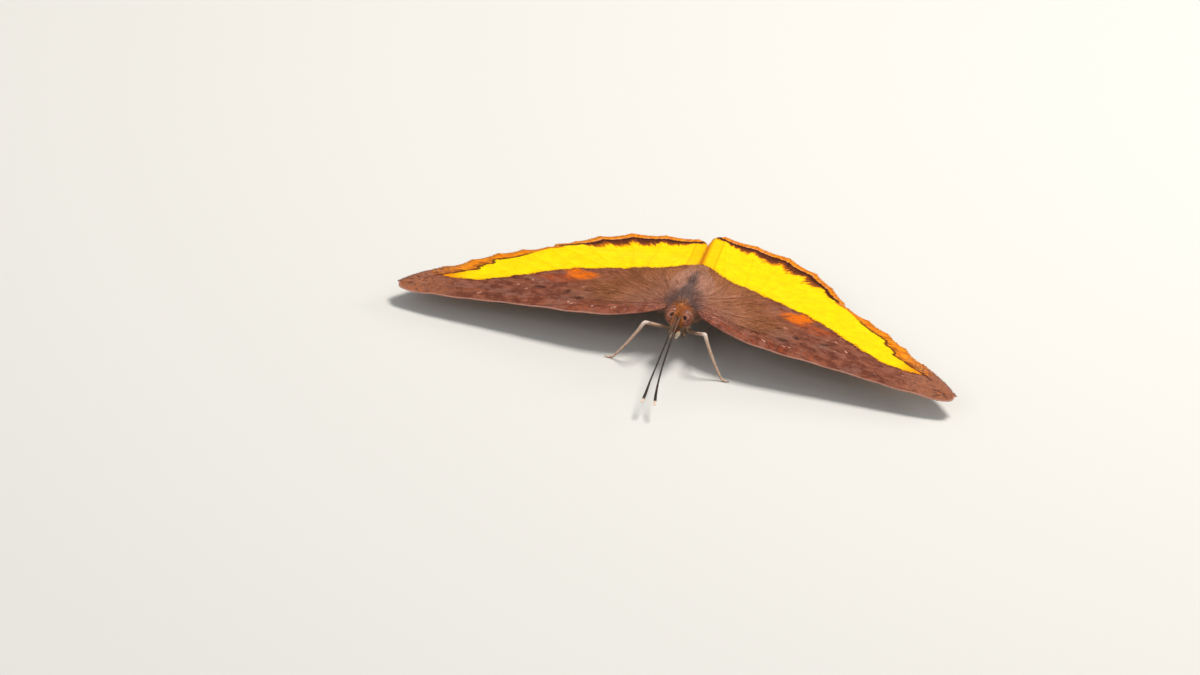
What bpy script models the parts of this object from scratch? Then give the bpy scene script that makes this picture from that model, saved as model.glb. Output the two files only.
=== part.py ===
"""A golden piper butterfly, Eurytela dryope, at life size, standing with its wings spread.

The insect faces -Y and its left side is +X. Sizes are worked out in millimetres above the floor, with
Y measured from the middle of the head, and every mesh is scaled to metres as it becomes an object.
"""

import math

import bmesh
import bpy
import numpy as np
from mathutils import Matrix, Vector
from mathutils.geometry import delaunay_2d_cdt

MM = 0.001
GAP = 0.22  # between neighbours that touch in life

# Body
HEAD_HEIGHT = 4.1
# Rings along the body: (y, middle height, half width, half height)
HEAD_RINGS = (
    (-1.02, 3.98, 0.20, 0.40),
    (-0.86, 4.04, 0.36, 0.74),
    (-0.50, 4.10, 0.41, 0.97),
    (0.00, 4.12, 0.41, 1.03),
    (0.42, 4.10, 0.43, 0.95),
    (0.66, 4.03, 0.52, 0.74),
    (0.80, 3.98, 0.52, 0.56),
)
THORAX_RINGS = (
    (1.02, 3.95, 0.55, 0.60),
    (1.22, 3.90, 0.85, 0.98),
    (1.75, 3.80, 1.16, 1.34),
    (2.60, 3.70, 1.40, 1.62),
    (3.60, 3.63, 1.50, 1.76),
    (4.60, 3.52, 1.44, 1.70),
    (5.50, 3.42, 1.27, 1.48),
    (6.28, 3.34, 1.00, 1.16),
)
ABDOMEN_RINGS = (
    (6.50, 3.28, 0.95, 1.06),
    (7.40, 3.08, 1.14, 1.23),
    (8.80, 2.78, 1.17, 1.20),
    (10.20, 2.42, 1.07, 1.08),
    (11.60, 2.02, 0.87, 0.88),
    (12.80, 1.62, 0.62, 0.62),
    (13.80, 1.30, 0.40, 0.40),
    (14.30, 1.14, 0.20, 0.20),
)
ABDOMEN_SEGMENTS = 8
SEGMENT_GROOVE = 0.07  # of the radius
BODY_SIDES = 18

# Head parts
EYE_MIDDLE = (0.50, 0.0, 4.15)
EYE_RADII = (0.86, 0.88, 0.98)
EYE_CUT = 0.63
PALP_PATH = ((0.33, -0.93, 2.98), (0.37, -1.40, 3.08), (0.35, -2.00, 3.24), (0.31, -2.55, 3.36))
PALP_RADII = (0.25, 0.28, 0.24, 0.13)
COIL_MIDDLE = (0.0, -0.18, 2.42)
COIL_RADIUS = 0.48
COIL_WIDTH = 0.5

# Feelers: (x from the middle, x of the middle, y, z), and the radius there
ANTENNA_PATH = (
    (0.36, 0.00, -1.14, 4.52),
    (0.38, -0.10, -2.20, 4.02),
    (0.39, -0.20, -3.80, 3.46),
    (0.41, -0.33, -6.80, 2.80),
    (0.46, -0.36, -9.20, 2.24),
    (0.55, -0.34, -10.60, 1.87),
    (0.60, -0.32, -11.40, 1.66),
    (0.62, -0.31, -12.00, 1.52),
)
ANTENNA_RADII = (0.25, 0.25, 0.25, 0.25, 0.25, 0.31, 0.35, 0.20)

# Legs on the +X side: (x, y, z, radius). The last points lie on the floor.
FORELEG = (
    (0.48, 1.92, 2.26, 0.26),
    (0.60, 1.45, 1.98, 0.27),
    (0.68, 0.55, 2.02, 0.26),
    (0.70, 0.05, 2.20, 0.25),
    (0.66, -0.30, 2.50, 0.16),
)
MIDLEG = (
    (0.60, 3.55, 1.80, 0.30),
    (0.78, 3.15, 1.42, 0.31),
    (1.30, 1.85, 1.98, 0.31),
    (2.10, -0.20, 3.02, 0.30),
    (2.56, -1.38, 3.60, 0.27),
    (2.72, -1.66, 3.55, 0.27),
    (3.05, -1.76, 2.90, 0.26),
    (3.68, -1.88, 1.78, 0.27),
    (3.85, -1.90, 1.52, 0.25),
    (4.45, -2.00, 0.62, 0.25),
    (4.66, -2.04, 0.30, 0.25),
    (4.88, -2.07, 0.14, 0.25),
    (5.40, -2.14, 0.14, 0.25),
)
HINDLEG = (
    (0.56, 5.05, 1.72, 0.30),
    (0.82, 5.40, 1.32, 0.31),
    (1.60, 6.25, 1.52, 0.31),
    (2.70, 7.45, 1.72, 0.28),
    (2.98, 7.80, 1.66, 0.27),
    (3.60, 8.85, 1.30, 0.26),
    (4.35, 10.15, 0.82, 0.27),
    (4.60, 10.50, 0.68, 0.25),
    (5.05, 11.15, 0.34, 0.25),
    (5.30, 11.50, 0.14, 0.25),
    (5.62, 11.98, 0.14, 0.25),
)
LEG_STRETCH = {"left": 0.97, "right": 1.02}  # how far each side's legs reach out

# Wing sheet: both wings of a side lie along one gently curved sheet
WING_ROOT = (1.6, 1.8)
WING_DROOP = math.tan(math.radians(6.0))
WING_PITCH = math.tan(math.radians(4.0))
COSTA_BEND = 0.40  # how far the leading edge turns down
COSTA_BEND_FROM = 2.0
COSTA_BEND_OVER = 3.0
MEMBRANE = 0.5
RIDGE_HEIGHT = 0.15
RIDGE_HALF_WIDTH = 0.26
UNDER_FOREWING = -0.84  # the hindwing's sheet below the forewing's, where they overlap
CLEAR_OF_FOREWING = 0.45  # beyond the forewing's edge the hindwing starts to leave that level
RISE_OVER = 2.6
FREE_LEVEL = -0.42  # of the hindwing's uncovered part
REAR_LEVEL = {"left": -0.56, "right": -1.34}  # at its hind margin: the right one hangs lower
SAG_FROM, SAG_OVER = 11.5, 5.5

# Wing outlines on the +X side, (x, y). Each margin point is the end of a vein, where a scallop stands out.
FOREWING_COSTA = (
    (1.70, 1.02),
    (2.90, 0.18),
    (4.60, -0.58),
    (6.80, -1.02),
    (9.60, -1.10),
    (13.0, -1.04),
    (16.6, -1.02),
    (20.0, -1.04),
    (22.6, -0.78),
    (23.9, -0.30),
)
FOREWING_MARGIN = {
    "R5": (24.22, 0.62),
    "M1": (20.85, 5.15),
    "M2": (18.85, 7.35),
    "M3": (17.00, 9.30),
    "CuA1": (15.10, 11.00),
    "CuA2": (13.25, 12.35),
    "A": (12.15, 13.00),
}
FOREWING_SCALLOPS = (-0.12, 0.30, 0.22, 0.20, 0.18, 0.10)
FOREWING_INNER = ((11.3, 12.95), (9.0, 11.75), (6.2, 9.35), (3.7, 6.55), (2.35, 4.75))
FOREWING_ROOT = (3.85, 1.55)
HINDWING_COSTA = (
    (2.30, 4.02),
    (4.20, 3.55),
    (7.20, 4.10),
    (10.2, 5.45),
    (12.3, 7.35),
)
HINDWING_MARGIN = {
    "Sc": (13.20, 9.20),
    "Rs": (13.25, 11.55),
    "M1": (12.60, 13.75),
    "M2": (11.15, 15.90),
    "M3": (9.35, 18.15),
    "CuA1": (6.95, 19.95),
    "CuA2": (4.00, 20.45),
    "A": (1.15, 20.45),
}
HINDWING_SCALLOPS = (0.08, 0.14, 0.20, 0.24, 0.25, 0.28, 0.42)
HINDWING_INNER = ((0.55, 20.05), (0.30, 18.90), (0.22, 17.0), (0.20, 15.2), (0.20, 13.6))
BESIDE_ABDOMEN = (12.8, 12.2, 11.6, 10.8, 9.8, 8.6, 7.3)  # where the inner edge runs along it
HALF_INNER_GAP = 0.20
HINDWING_ROOT = (5.95, 4.25)

# Veins on the +X side: from where each leaves the root or its parent vein, to the margin
FOREWING_VEINS = {
    "radius": ((2.2, 2.25), (5.6, 1.35), (10.6, 1.15), (14.0, 1.15), (18.6, 0.75), "R5"),
    "subcosta": ((2.2, 1.75), (5.0, 0.45), (9.0, -0.10), (13.2, -1.04)),
    "R1": ((8.4, 1.25), (12.0, 0.40), (16.2, -1.02)),
    "R3": ((13.0, 1.18), (17.0, 0.25), (20.9, -0.98)),
    "M1": ((10.6, 1.15), (10.9, 2.00), (15.6, 3.35), "M1"),
    "M2": ((10.9, 2.00), (11.0, 3.30), (15.0, 5.10), "M2"),
    "M3": ((9.9, 4.95), (13.2, 6.85), "M3"),
    "cubitus": ((2.2, 2.85), (5.6, 3.40), (8.6, 4.45), (11.6, 7.50), "CuA1"),
    "CuA2": ((6.3, 3.60), (9.4, 7.60), "CuA2"),
    "anal": ((2.3, 3.45), (5.6, 7.00), (9.2, 10.60), "A"),
}
HINDWING_VEINS = {
    "subcosta": ((2.1, 4.70), (6.2, 4.70), (10.4, 6.60), "Sc"),
    "Rs": ((4.4, 5.75), (8.6, 7.90), "Rs"),
    "radius": ((2.1, 4.95), (4.4, 5.75), (6.9, 8.30), (9.2, 10.80), "M1"),
    "M2": ((6.9, 8.30), (8.5, 12.00), "M2"),
    "M3": ((6.1, 10.10), (7.3, 14.20), "M3"),
    "cubitus": ((2.1, 5.35), (4.3, 8.00), (5.6, 11.50), (6.1, 15.60), "CuA1"),
    "CuA2": ((4.3, 8.00), (4.3, 12.40), (4.15, 16.60), "CuA2"),
    "anal": ((2.0, 5.70), (2.5, 9.60), (1.95, 14.60), "A"),
}

# How finely the wings are divided
MARGIN_STEP = 0.85
VEIN_STEP = 1.15
INNER_STEP = 2.0
KEEP_OFF = 0.75  # inner points stay this far from edges and veins
RIDGE_POINT_APART = 0.16

# Colours and roughness
FINISHES = {
    "brown_scales": ((0.165, 0.075, 0.045), 0.75),
    "body_scales": ((0.13, 0.085, 0.065), 0.8),
    "face_scales": ((0.30, 0.13, 0.06), 0.7),
    "eye_brown": ((0.12, 0.045, 0.025), 0.25),
    "antenna_dark": ((0.035, 0.018, 0.014), 0.5),
    "leg_buff": ((0.50, 0.36, 0.23), 0.6),
}


def clear_scene():
    for old in list(bpy.data.objects):
        bpy.data.objects.remove(old, do_unlink=True)


def clamp(value):
    return max(0.0, min(1.0, value))


def smooth(value):
    t = clamp(value)
    return t * t * (3 - 2 * t)


def material(name):
    colour, roughness = FINISHES[name]
    made = bpy.data.materials.get(name)
    if made is None:
        made = bpy.data.materials.new(name)
        made.use_nodes = True
        shader = made.node_tree.nodes["Principled BSDF"]
        shader.inputs["Base Color"].default_value = (*colour, 1.0)
        shader.inputs["Roughness"].default_value = roughness
        shader.inputs["Metallic"].default_value = 0.0
    return made


def new_node(name, bm, finish, collection, parent):
    """A sub-part from a bmesh in millimetres."""
    bmesh.ops.recalc_face_normals(bm, faces=bm.faces)
    mesh = bpy.data.meshes.new(name)
    bm.to_mesh(mesh)
    bm.free()
    mesh.transform(Matrix.Scale(MM, 4))
    mesh.shade_smooth()
    mesh.set_sharp_from_angle(angle=math.radians(40))
    mesh.materials.append(material(finish))
    node = bpy.data.objects.new(name, mesh)
    collection.objects.link(node)
    node.parent = parent
    return node


# Curves

def through(points, step):
    """Points about a step apart on a smooth curve through the given ones, both ends included."""
    knots = [Vector(p) for p in points]
    knots = [2 * knots[0] - knots[1], *knots, 2 * knots[-1] - knots[-2]]
    made = []
    for before, start, end, after in zip(knots, knots[1:], knots[2:], knots[3:]):
        count = max(1, round((end - start).length / step))
        for i in range(count):
            t = i / count
            made.append(
                0.5 * (2 * start + (end - before) * t + (2 * before - 5 * start + 4 * end - after) * t**2
                       + (3 * start - before - 3 * end + after) * t**3)
            )
    return made + [knots[-2]]


def scallop(start, end, depth, step):
    """The margin between two vein ends, drawn in towards the wing by depth, without its last point."""
    start, end = Vector(start), Vector(end)
    along = end - start
    inward = Vector((-along.y, along.x)).normalized()
    count = max(2, round(along.length / step))
    shares = [i / count for i in range(count)]
    return [start + along * t + inward * depth * math.sin(math.pi * t) for t in shares]


# Bodies made of rings

def at_ring(rings, y):
    """(middle height, half width, half height) of a ringed body at y."""
    columns = np.array(rings, float).T
    return [float(np.interp(y, columns[0], column)) for column in columns[1:]]


def ringed(rings, sides):
    """A closed body through elliptical rings, with flat ends."""
    bm = bmesh.new()
    loops = []
    for y, middle, half_width, half_height in rings:
        angles = [2 * math.pi * i / sides for i in range(sides)]
        loops.append([
            bm.verts.new((half_width * math.cos(a), y, middle + half_height * math.sin(a))) for a in angles
        ])
    for first, second in zip(loops, loops[1:]):
        for i in range(sides):
            j = (i + 1) % sides
            bm.faces.new((first[i], first[j], second[j], second[i]))
    bm.faces.new(loops[0])
    bm.faces.new(loops[-1])
    return bm


def smoothed_rings(rings, count):
    """The same body with rings closer together, on a smooth curve through the named ones."""
    fine = through([Vector(r) for r in rings], (rings[-1][0] - rings[0][0]) / count)
    return [tuple(r) for r in fine]


def abdomen_rings():
    """Rings with a shallow groove between one segment and the next."""
    first, last = ABDOMEN_RINGS[0][0], ABDOMEN_RINGS[-1][0]
    made = []
    for i in range(ABDOMEN_SEGMENTS):
        for share, groove in ((0.0, 1.0), (0.22, 0.0), (0.80, 0.0)):
            y = first + (last - first) * (i + share) / ABDOMEN_SEGMENTS
            middle, half_width, half_height = at_ring(ABDOMEN_RINGS, y)
            keep = 1 - SEGMENT_GROOVE * (groove if i else 0)
            made.append((y, middle, half_width * keep, half_height * keep))
    return made + [ABDOMEN_RINGS[-1]]


def reach_above(rings, y, z):
    """How far a ringed body reaches to the side, at the height z or anywhere above it."""
    middle, half_width, half_height = at_ring(rings, y)
    return half_width * math.sqrt(max(0.0, 1 - (max(0.0, z - middle) / half_height) ** 2))


# Tubes

def tube(points, radii):
    """A round tube with closed ends as a bmesh, flat on the floor where it would pass below it."""
    curve = bpy.data.curves.new("tube", "CURVE")
    curve.dimensions = "3D"
    curve.bevel_depth = 1.0
    curve.bevel_resolution = 2
    curve.use_fill_caps = True
    spline = curve.splines.new("POLY")
    spline.points.add(len(points) - 1)
    for knot, place, radius in zip(spline.points, points, radii):
        knot.co = (*place, 1.0)
        knot.radius = radius
    guide = bpy.data.objects.new("tube", curve)
    bpy.context.scene.collection.objects.link(guide)
    seen = guide.evaluated_get(bpy.context.evaluated_depsgraph_get())
    mesh = bpy.data.meshes.new_from_object(seen)
    bm = bmesh.new()
    bm.from_mesh(mesh)
    bmesh.ops.remove_doubles(bm, verts=bm.verts, dist=1e-4)
    bpy.data.objects.remove(guide)
    bpy.data.curves.remove(curve)
    bpy.data.meshes.remove(mesh)
    for vert in bm.verts:
        vert.co.z = max(vert.co.z, 0.0)
    return bm


def limb(path, side):
    """A leg as a tube, with its joints where the named points are."""
    sign = 1 if side == "left" else -1
    root_x = path[0][0]
    points = [(sign * (root_x + (x - root_x) * LEG_STRETCH[side]), y, z) for x, y, z, _ in path]
    return tube(points, [radius for *_, radius in path])


def antenna(side):
    sign = 1 if side == "left" else -1
    knots = [(middle + sign * x, y, z, radius)
             for (x, middle, y, z), radius in zip(ANTENNA_PATH, ANTENNA_RADII)]
    fine = through(knots, 0.9)
    return tube([p[:3] for p in fine], [p[3] for p in fine])


def palp(side):
    sign = 1 if side == "left" else -1
    fine = through([(sign * x, y, z, radius) for (x, y, z), radius in zip(PALP_PATH, PALP_RADII)], 0.35)
    return tube([p[:3] for p in fine], [p[3] for p in fine])


def eye(side):
    """A dome: the outer part of an ellipsoid, cut flat where it faces the head."""
    sign = 1 if side == "left" else -1
    bm = bmesh.new()
    bmesh.ops.create_uvsphere(bm, u_segments=20, v_segments=12, radius=1.0)
    bmesh.ops.scale(bm, vec=EYE_RADII, verts=bm.verts)
    x, y, z = EYE_MIDDLE
    bmesh.ops.translate(bm, vec=(sign * x, y, z), verts=bm.verts)
    whole = bm.verts[:] + bm.edges[:] + bm.faces[:]
    bmesh.ops.bisect_plane(bm, geom=whole, plane_co=(sign * EYE_CUT, 0, 0), plane_no=(sign, 0, 0),
                           clear_inner=True)
    rim = [e for e in bm.edges if e.is_boundary]
    bmesh.ops.contextual_create(bm, geom=rim)
    return bm


def coil():
    """The rolled tongue's outer shape, a thick disc with rounded edges that stands on edge."""
    bm = bmesh.new()
    bmesh.ops.create_cone(bm, cap_ends=True, segments=20, radius1=COIL_RADIUS, radius2=COIL_RADIUS,
                          depth=COIL_WIDTH)
    rims = [e for e in bm.edges if abs(e.verts[0].co.z - e.verts[1].co.z) < 1e-6]
    bmesh.ops.bevel(bm, geom=rims, offset=0.12, segments=2, affect="EDGES")
    bmesh.ops.rotate(bm, matrix=Matrix.Rotation(math.pi / 2, 3, "Y"), verts=bm.verts)
    bmesh.ops.translate(bm, vec=COIL_MIDDLE, verts=bm.verts)
    return bm


# Wings

def wing_sheet(x, y):
    """Height of the middle of the forewing, for x from the body's middle on either side."""
    bend = clamp((COSTA_BEND_FROM - y) / COSTA_BEND_OVER)
    return (HEAD_HEIGHT - WING_DROOP * (x - WING_ROOT[0]) - WING_PITCH * (y - WING_ROOT[1])
            - COSTA_BEND * bend**2)


def free_level(side, y):
    """How far a hindwing's uncovered part lies below the forewing's sheet."""
    return FREE_LEVEL + (REAR_LEVEL[side] - FREE_LEVEL) * smooth((y - SAG_FROM) / SAG_OVER)


def root_edge(y_from, y_to, lower, count):
    """Points along a wing's root, one gap away from the side of the thorax."""
    made = []
    for i in range(count):
        y = y_from + (y_to - y_from) * i / (count - 1)
        under = wing_sheet(WING_ROOT[0], y) + lower - MEMBRANE / 2
        made.append(Vector((reach_above(THORAX_RINGS, y, under - GAP) + GAP, y)))
    return made


def inner_edge():
    """The hindwing's inner edge: beside the abdomen, and behind it close to the other wing."""
    made = list(HINDWING_INNER)
    for y in BESIDE_ABDOMEN:
        level = min(free_level(side, y) for side in REAR_LEVEL)
        under = wing_sheet(WING_ROOT[0], y) + level - MEMBRANE / 2
        beside = reach_above(ABDOMEN_RINGS, y, under - GAP)
        made.append((max(HALF_INNER_GAP, beside + GAP), y))
    return made


def outline_of(costa, margin, scallops, inner, root, lower):
    """The wing's outline: costa from the root, scalloped margin, inner edge and root, once round."""
    ends = list(margin.values())
    made = through([*costa, ends[0]], MARGIN_STEP)[:-1]
    for start, end, depth in zip(ends, ends[1:], scallops):
        made += scallop(start, end, depth, MARGIN_STEP)
    base = root_edge(*root, lower, 4)
    return made + through([ends[-1], *inner, base[0]], MARGIN_STEP)[:-1] + base


def veins_of(named, margin):
    """Each vein as a curve, from its root to its own end on the margin."""
    lines = []
    for points in named.values():
        knots = [margin[p] if isinstance(p, str) else p for p in points]
        lines.append(through(knots, VEIN_STEP))
    return lines


def inside(point, polygon):
    """Whether a point lies in a polygon, by counting the edges to its right."""
    hit = False
    for a, b in zip(polygon, polygon[1:] + polygon[:1]):
        if (a.y > point.y) != (b.y > point.y):
            if point.x < a.x + (point.y - a.y) * (b.x - a.x) / (b.y - a.y):
                hit = not hit
    return hit


def distance_to(point, lines):
    """The least distance from a point to any of several lines of points."""
    least = math.inf
    for line in lines:
        for a, b in zip(line, line[1:]):
            along = b - a
            share = clamp((point - a).dot(along) / max(along.length_squared, 1e-12))
            least = min(least, (point - a - along * share).length)
    return least


class Wing:
    """One wing of the +X side: its outline, its veins and the heights of its two faces."""

    def __init__(self, outline, veins):
        self.outline = outline
        self.closed = outline + outline[:1]
        self.veins = veins

    def beyond(self, point):
        """How far a point lies outside the wing, and less than nothing inside."""
        away = distance_to(point, [self.closed])
        return -away if inside(point, self.outline) else away

    def ridge(self, point):
        return RIDGE_HEIGHT * clamp(1 - distance_to(point, self.veins) / RIDGE_HALF_WIDTH)

    def plan(self):
        """(points, triangles) of the flat wing, with an edge along the crest of every vein."""
        points = list(self.outline)
        edges = []
        for line in self.veins:
            places = []
            for spot in line:
                near = min(range(len(points)), key=lambda i: (points[i] - spot).length)
                if (points[near] - spot).length > RIDGE_POINT_APART:
                    points.append(spot)
                    near = len(points) - 1
                places.append(near)
            edges += [(a, b) for a, b in zip(places, places[1:]) if a != b]
        for line in self.veins:
            for before, spot, after in zip(line, line[1:], line[2:]):
                across = (after - before).normalized().orthogonal() * RIDGE_HALF_WIDTH
                for foot in (spot + across, spot - across):
                    clear = distance_to(foot, self.veins) > 0.8 * RIDGE_HALF_WIDTH
                    if clear and self.beyond(foot) < -RIDGE_POINT_APART:
                        points.append(foot)
        points += self.inner_points()
        made, _, faces, *_ = delaunay_2d_cdt(points, edges, [list(range(len(self.outline)))], 1, 1e-5)
        return made, faces

    def inner_points(self):
        """An even spread of points over the membrane between the veins."""
        low = Vector((min(p.x for p in self.outline), min(p.y for p in self.outline)))
        high = Vector((max(p.x for p in self.outline), max(p.y for p in self.outline)))
        row_step = INNER_STEP * math.sqrt(0.75)
        made = []
        for row in range(int((high.y - low.y) / row_step) + 1):
            for column in range(int((high.x - low.x) / INNER_STEP) + 1):
                spot = low + Vector(((column + 0.5 * (row % 2)) * INNER_STEP, row * row_step))
                if self.beyond(spot) < -KEEP_OFF and distance_to(spot, self.veins) > KEEP_OFF:
                    made.append(spot)
        return made

    def solid(self, side, top, bottom):
        """The closed wing as a bmesh: top and bottom give the heights of its faces above a flat point."""
        sign = 1 if side == "left" else -1
        points, faces = self.plan()
        bm = bmesh.new()
        lower = [bm.verts.new((p.x, p.y, bottom(p))) for p in points]
        for face in faces:
            bm.faces.new([lower[i] for i in face])
        raised = bmesh.ops.extrude_face_region(bm, geom=bm.faces[:])["geom"]
        for vert in raised:
            if isinstance(vert, bmesh.types.BMVert):
                vert.co.z = top(Vector((vert.co.x, vert.co.y)))
        for vert in bm.verts:
            vert.co.x *= sign
        return bm


def forewing(side, fore, hind):
    """The underside has no ridges where the hindwing lies close below it."""
    def top(p):
        return wing_sheet(p.x, p.y) + MEMBRANE / 2 + fore.ridge(p)

    def bottom(p):
        ridge = fore.ridge(p) if hind.beyond(p) > CLEAR_OF_FOREWING else 0.0
        return wing_sheet(p.x, p.y) - MEMBRANE / 2 - ridge

    return fore.solid(side, top, bottom)


def hindwing(side, fore, hind):
    """It lies just under the forewing, and takes its own level beyond the forewing's edge."""
    def sheet(p):
        out = smooth((fore.beyond(p) - CLEAR_OF_FOREWING) / RISE_OVER)
        level = UNDER_FOREWING + (free_level(side, p.y) - UNDER_FOREWING) * out
        return wing_sheet(p.x, p.y) + level

    def top(p):
        ridge = hind.ridge(p) if fore.beyond(p) > CLEAR_OF_FOREWING else 0.0
        return sheet(p) + MEMBRANE / 2 + ridge

    def bottom(p):
        return sheet(p) - MEMBRANE / 2 - hind.ridge(p)

    return hind.solid(side, top, bottom)


def butterfly():
    """Makes every sub-part under one empty, which stands at the middle of the insect on the floor."""
    clear_scene()
    collection = bpy.data.collections.new("golden_piper_butterfly")
    bpy.context.scene.collection.children.link(collection)
    centre = bpy.data.objects.new("butterfly", None)
    collection.objects.link(centre)

    def add(name, bm, finish):
        return new_node(name, bm, finish, collection, centre)

    fore = Wing(
        outline_of(FOREWING_COSTA, FOREWING_MARGIN, FOREWING_SCALLOPS, FOREWING_INNER, FOREWING_ROOT, 0.0),
        veins_of(FOREWING_VEINS, FOREWING_MARGIN),
    )
    hind = Wing(
        outline_of(HINDWING_COSTA, HINDWING_MARGIN, HINDWING_SCALLOPS, inner_edge(), HINDWING_ROOT,
                   UNDER_FOREWING),
        veins_of(HINDWING_VEINS, HINDWING_MARGIN),
    )
    add("head", ringed(smoothed_rings(HEAD_RINGS, 12), 16), "face_scales")
    add("thorax", ringed(smoothed_rings(THORAX_RINGS, 12), BODY_SIDES), "body_scales")
    add("abdomen", ringed(abdomen_rings(), BODY_SIDES), "body_scales")
    add("proboscis", coil(), "face_scales")
    for side in ("left", "right"):
        add(f"eye_{side}", eye(side), "eye_brown")
        add(f"palp_{side}", palp(side), "face_scales")
        add(f"antenna_{side}", antenna(side), "antenna_dark")
        add(f"foreleg_{side}", limb(FORELEG, side), "leg_buff")
        add(f"midleg_{side}", limb(MIDLEG, side), "leg_buff")
        add(f"hindleg_{side}", limb(HINDLEG, side), "leg_buff")
        add(f"forewing_{side}", forewing(side, fore, hind), "brown_scales")
        add(f"hindwing_{side}", hindwing(side, fore, hind), "brown_scales")
    corners = [v.co for part in collection.objects if part.type == "MESH" for v in part.data.vertices]
    for axis in (0, 1):
        reach = [corner[axis] for corner in corners]
        centre.location[axis] = -(min(reach) + max(reach)) / 2


butterfly()
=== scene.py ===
"""A golden piper butterfly at rest with its wings spread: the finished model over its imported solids.

Places are in millimetres in the insect's own frame: X to its left, Y back from the middle of its head
and Z up from the floor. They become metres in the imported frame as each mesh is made.
"""

import math

import bpy
import numpy as np
from mathutils import Matrix, Vector
from mathutils.geometry import delaunay_2d_cdt


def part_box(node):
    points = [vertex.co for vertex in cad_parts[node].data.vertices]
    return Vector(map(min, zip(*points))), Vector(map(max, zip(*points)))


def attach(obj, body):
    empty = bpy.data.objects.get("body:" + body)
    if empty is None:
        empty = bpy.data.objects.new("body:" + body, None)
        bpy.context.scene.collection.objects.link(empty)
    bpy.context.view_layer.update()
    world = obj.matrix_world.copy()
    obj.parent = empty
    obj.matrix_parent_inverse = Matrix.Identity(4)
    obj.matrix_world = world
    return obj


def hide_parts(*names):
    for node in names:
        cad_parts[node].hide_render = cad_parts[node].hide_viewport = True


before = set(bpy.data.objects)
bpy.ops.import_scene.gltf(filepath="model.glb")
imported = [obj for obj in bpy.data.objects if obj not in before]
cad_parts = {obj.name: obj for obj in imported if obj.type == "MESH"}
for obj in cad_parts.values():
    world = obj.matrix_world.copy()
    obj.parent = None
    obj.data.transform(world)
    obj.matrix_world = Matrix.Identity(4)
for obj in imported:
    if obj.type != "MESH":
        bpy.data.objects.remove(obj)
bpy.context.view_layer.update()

MM = 0.001
HEAD_FRONT = -1.02
TO_FRAME = np.array([0.0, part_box("head")[0][1] / MM - HEAD_FRONT, 0.0])
SIDES = {"left": 1, "right": -1}
BAKE_MAP = "OFBake"
TUFT_PATCH = 0.003  # a tuft's size on its bake map
ROOT_DEPTH = 0.04  # how deep a hair's root sits in the skin
TUFT_THICKNESS = 0.4  # against its width
SEED = 23

# Wings, repeated from the solids: (x, y) on the +X side
HEAD_HEIGHT = 4.1
WING_ROOT = (1.6, 1.8)
WING_DROOP = math.tan(math.radians(6.0))
WING_PITCH = math.tan(math.radians(4.0))
COSTA_BEND, COSTA_BEND_FROM, COSTA_BEND_OVER = 0.40, 2.0, 3.0
FREE_LEVEL = -0.42
REAR_LEVEL = {"left": -0.56, "right": -1.34}
SAG_FROM, SAG_OVER = 11.5, 5.5
FOREWING_COSTA = (
    (1.70, 1.02), (2.90, 0.20), (4.60, -0.50), (6.80, -0.90), (9.60, -0.96),
    (13.0, -0.88), (16.6, -0.84), (20.0, -0.82), (22.6, -0.62), (23.6, -0.38), (24.05, -0.02),
)
FOREWING_MARGIN = {
    "R5": (24.18, 0.62), "M1": (20.85, 5.15), "M2": (18.95, 7.43), "M3": (17.10, 9.42),
    "CuA1": (15.22, 11.15), "CuA2": (13.25, 12.35), "A": (12.15, 13.00),
}
FOREWING_SCALLOPS = (-0.22, 0.26, 0.20, 0.18, 0.16, 0.10)
FOREWING_INNER = ((11.3, 12.95), (9.0, 11.75), (6.2, 9.35), (3.7, 6.55), (2.0, 4.6))
FOREWING_BASE = ((1.25, 3.85), (1.15, 3.0), (1.15, 2.2), (1.3, 1.5))
HINDWING_COSTA = ((2.30, 4.02), (4.20, 3.55), (7.20, 4.10), (10.2, 5.45), (12.3, 7.35))
HINDWING_MARGIN = {
    "Sc": (13.20, 9.20), "Rs": (13.25, 11.55), "M1": (12.60, 13.75), "M2": (11.25, 16.00),
    "M3": (9.52, 18.35), "CuA1": (7.00, 20.05), "CuA2": (4.05, 20.55), "A": (1.15, 20.50),
}
HINDWING_SCALLOPS = (0.04, 0.06, 0.08, 0.09, 0.07, 0.08, 0.16)
HINDWING_INNER = (
    (0.50, 20.10), (0.20, 19.00), (0.07, 17.6), (0.03, 15.6), (0.03, 13.6), (0.04, 12.2),
    (0.09, 11.4), (0.28, 10.7), (0.68, 9.8), (0.98, 8.9), (1.08, 7.8), (1.10, 6.8),
)
HINDWING_BASE = ((1.05, 5.95), (1.10, 5.1), (1.15, 4.3))
FOREWING_VEINS = {
    "radius": ((1.5, 2.25), (5.6, 1.35), (10.6, 1.15), (14.0, 1.15), (18.6, 0.75), "R5"),
    "subcosta": ((1.5, 1.75), (5.0, 0.45), (9.0, -0.10), (13.2, -1.04)),
    "R1": ((8.4, 1.25), (12.0, 0.40), (16.2, -1.02)),
    "R3": ((13.0, 1.18), (17.0, 0.25), (20.9, -0.98)),
    "M1": ((10.6, 1.15), (10.9, 2.00), (15.6, 3.35), "M1"),
    "M2": ((10.9, 2.00), (11.0, 3.30), (15.0, 5.10), "M2"),
    "M3": ((9.9, 4.95), (13.2, 6.85), "M3"),
    "cell_end": ((11.0, 3.30), (10.6, 4.20), (9.9, 4.95)),
    "cubitus": ((1.5, 2.85), (5.6, 3.40), (8.6, 4.45), (11.6, 7.50), "CuA1"),
    "CuA2": ((6.3, 3.60), (9.4, 7.60), "CuA2"),
    "anal": ((1.6, 3.35), (5.6, 7.00), (9.2, 10.60), "A"),
}
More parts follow.
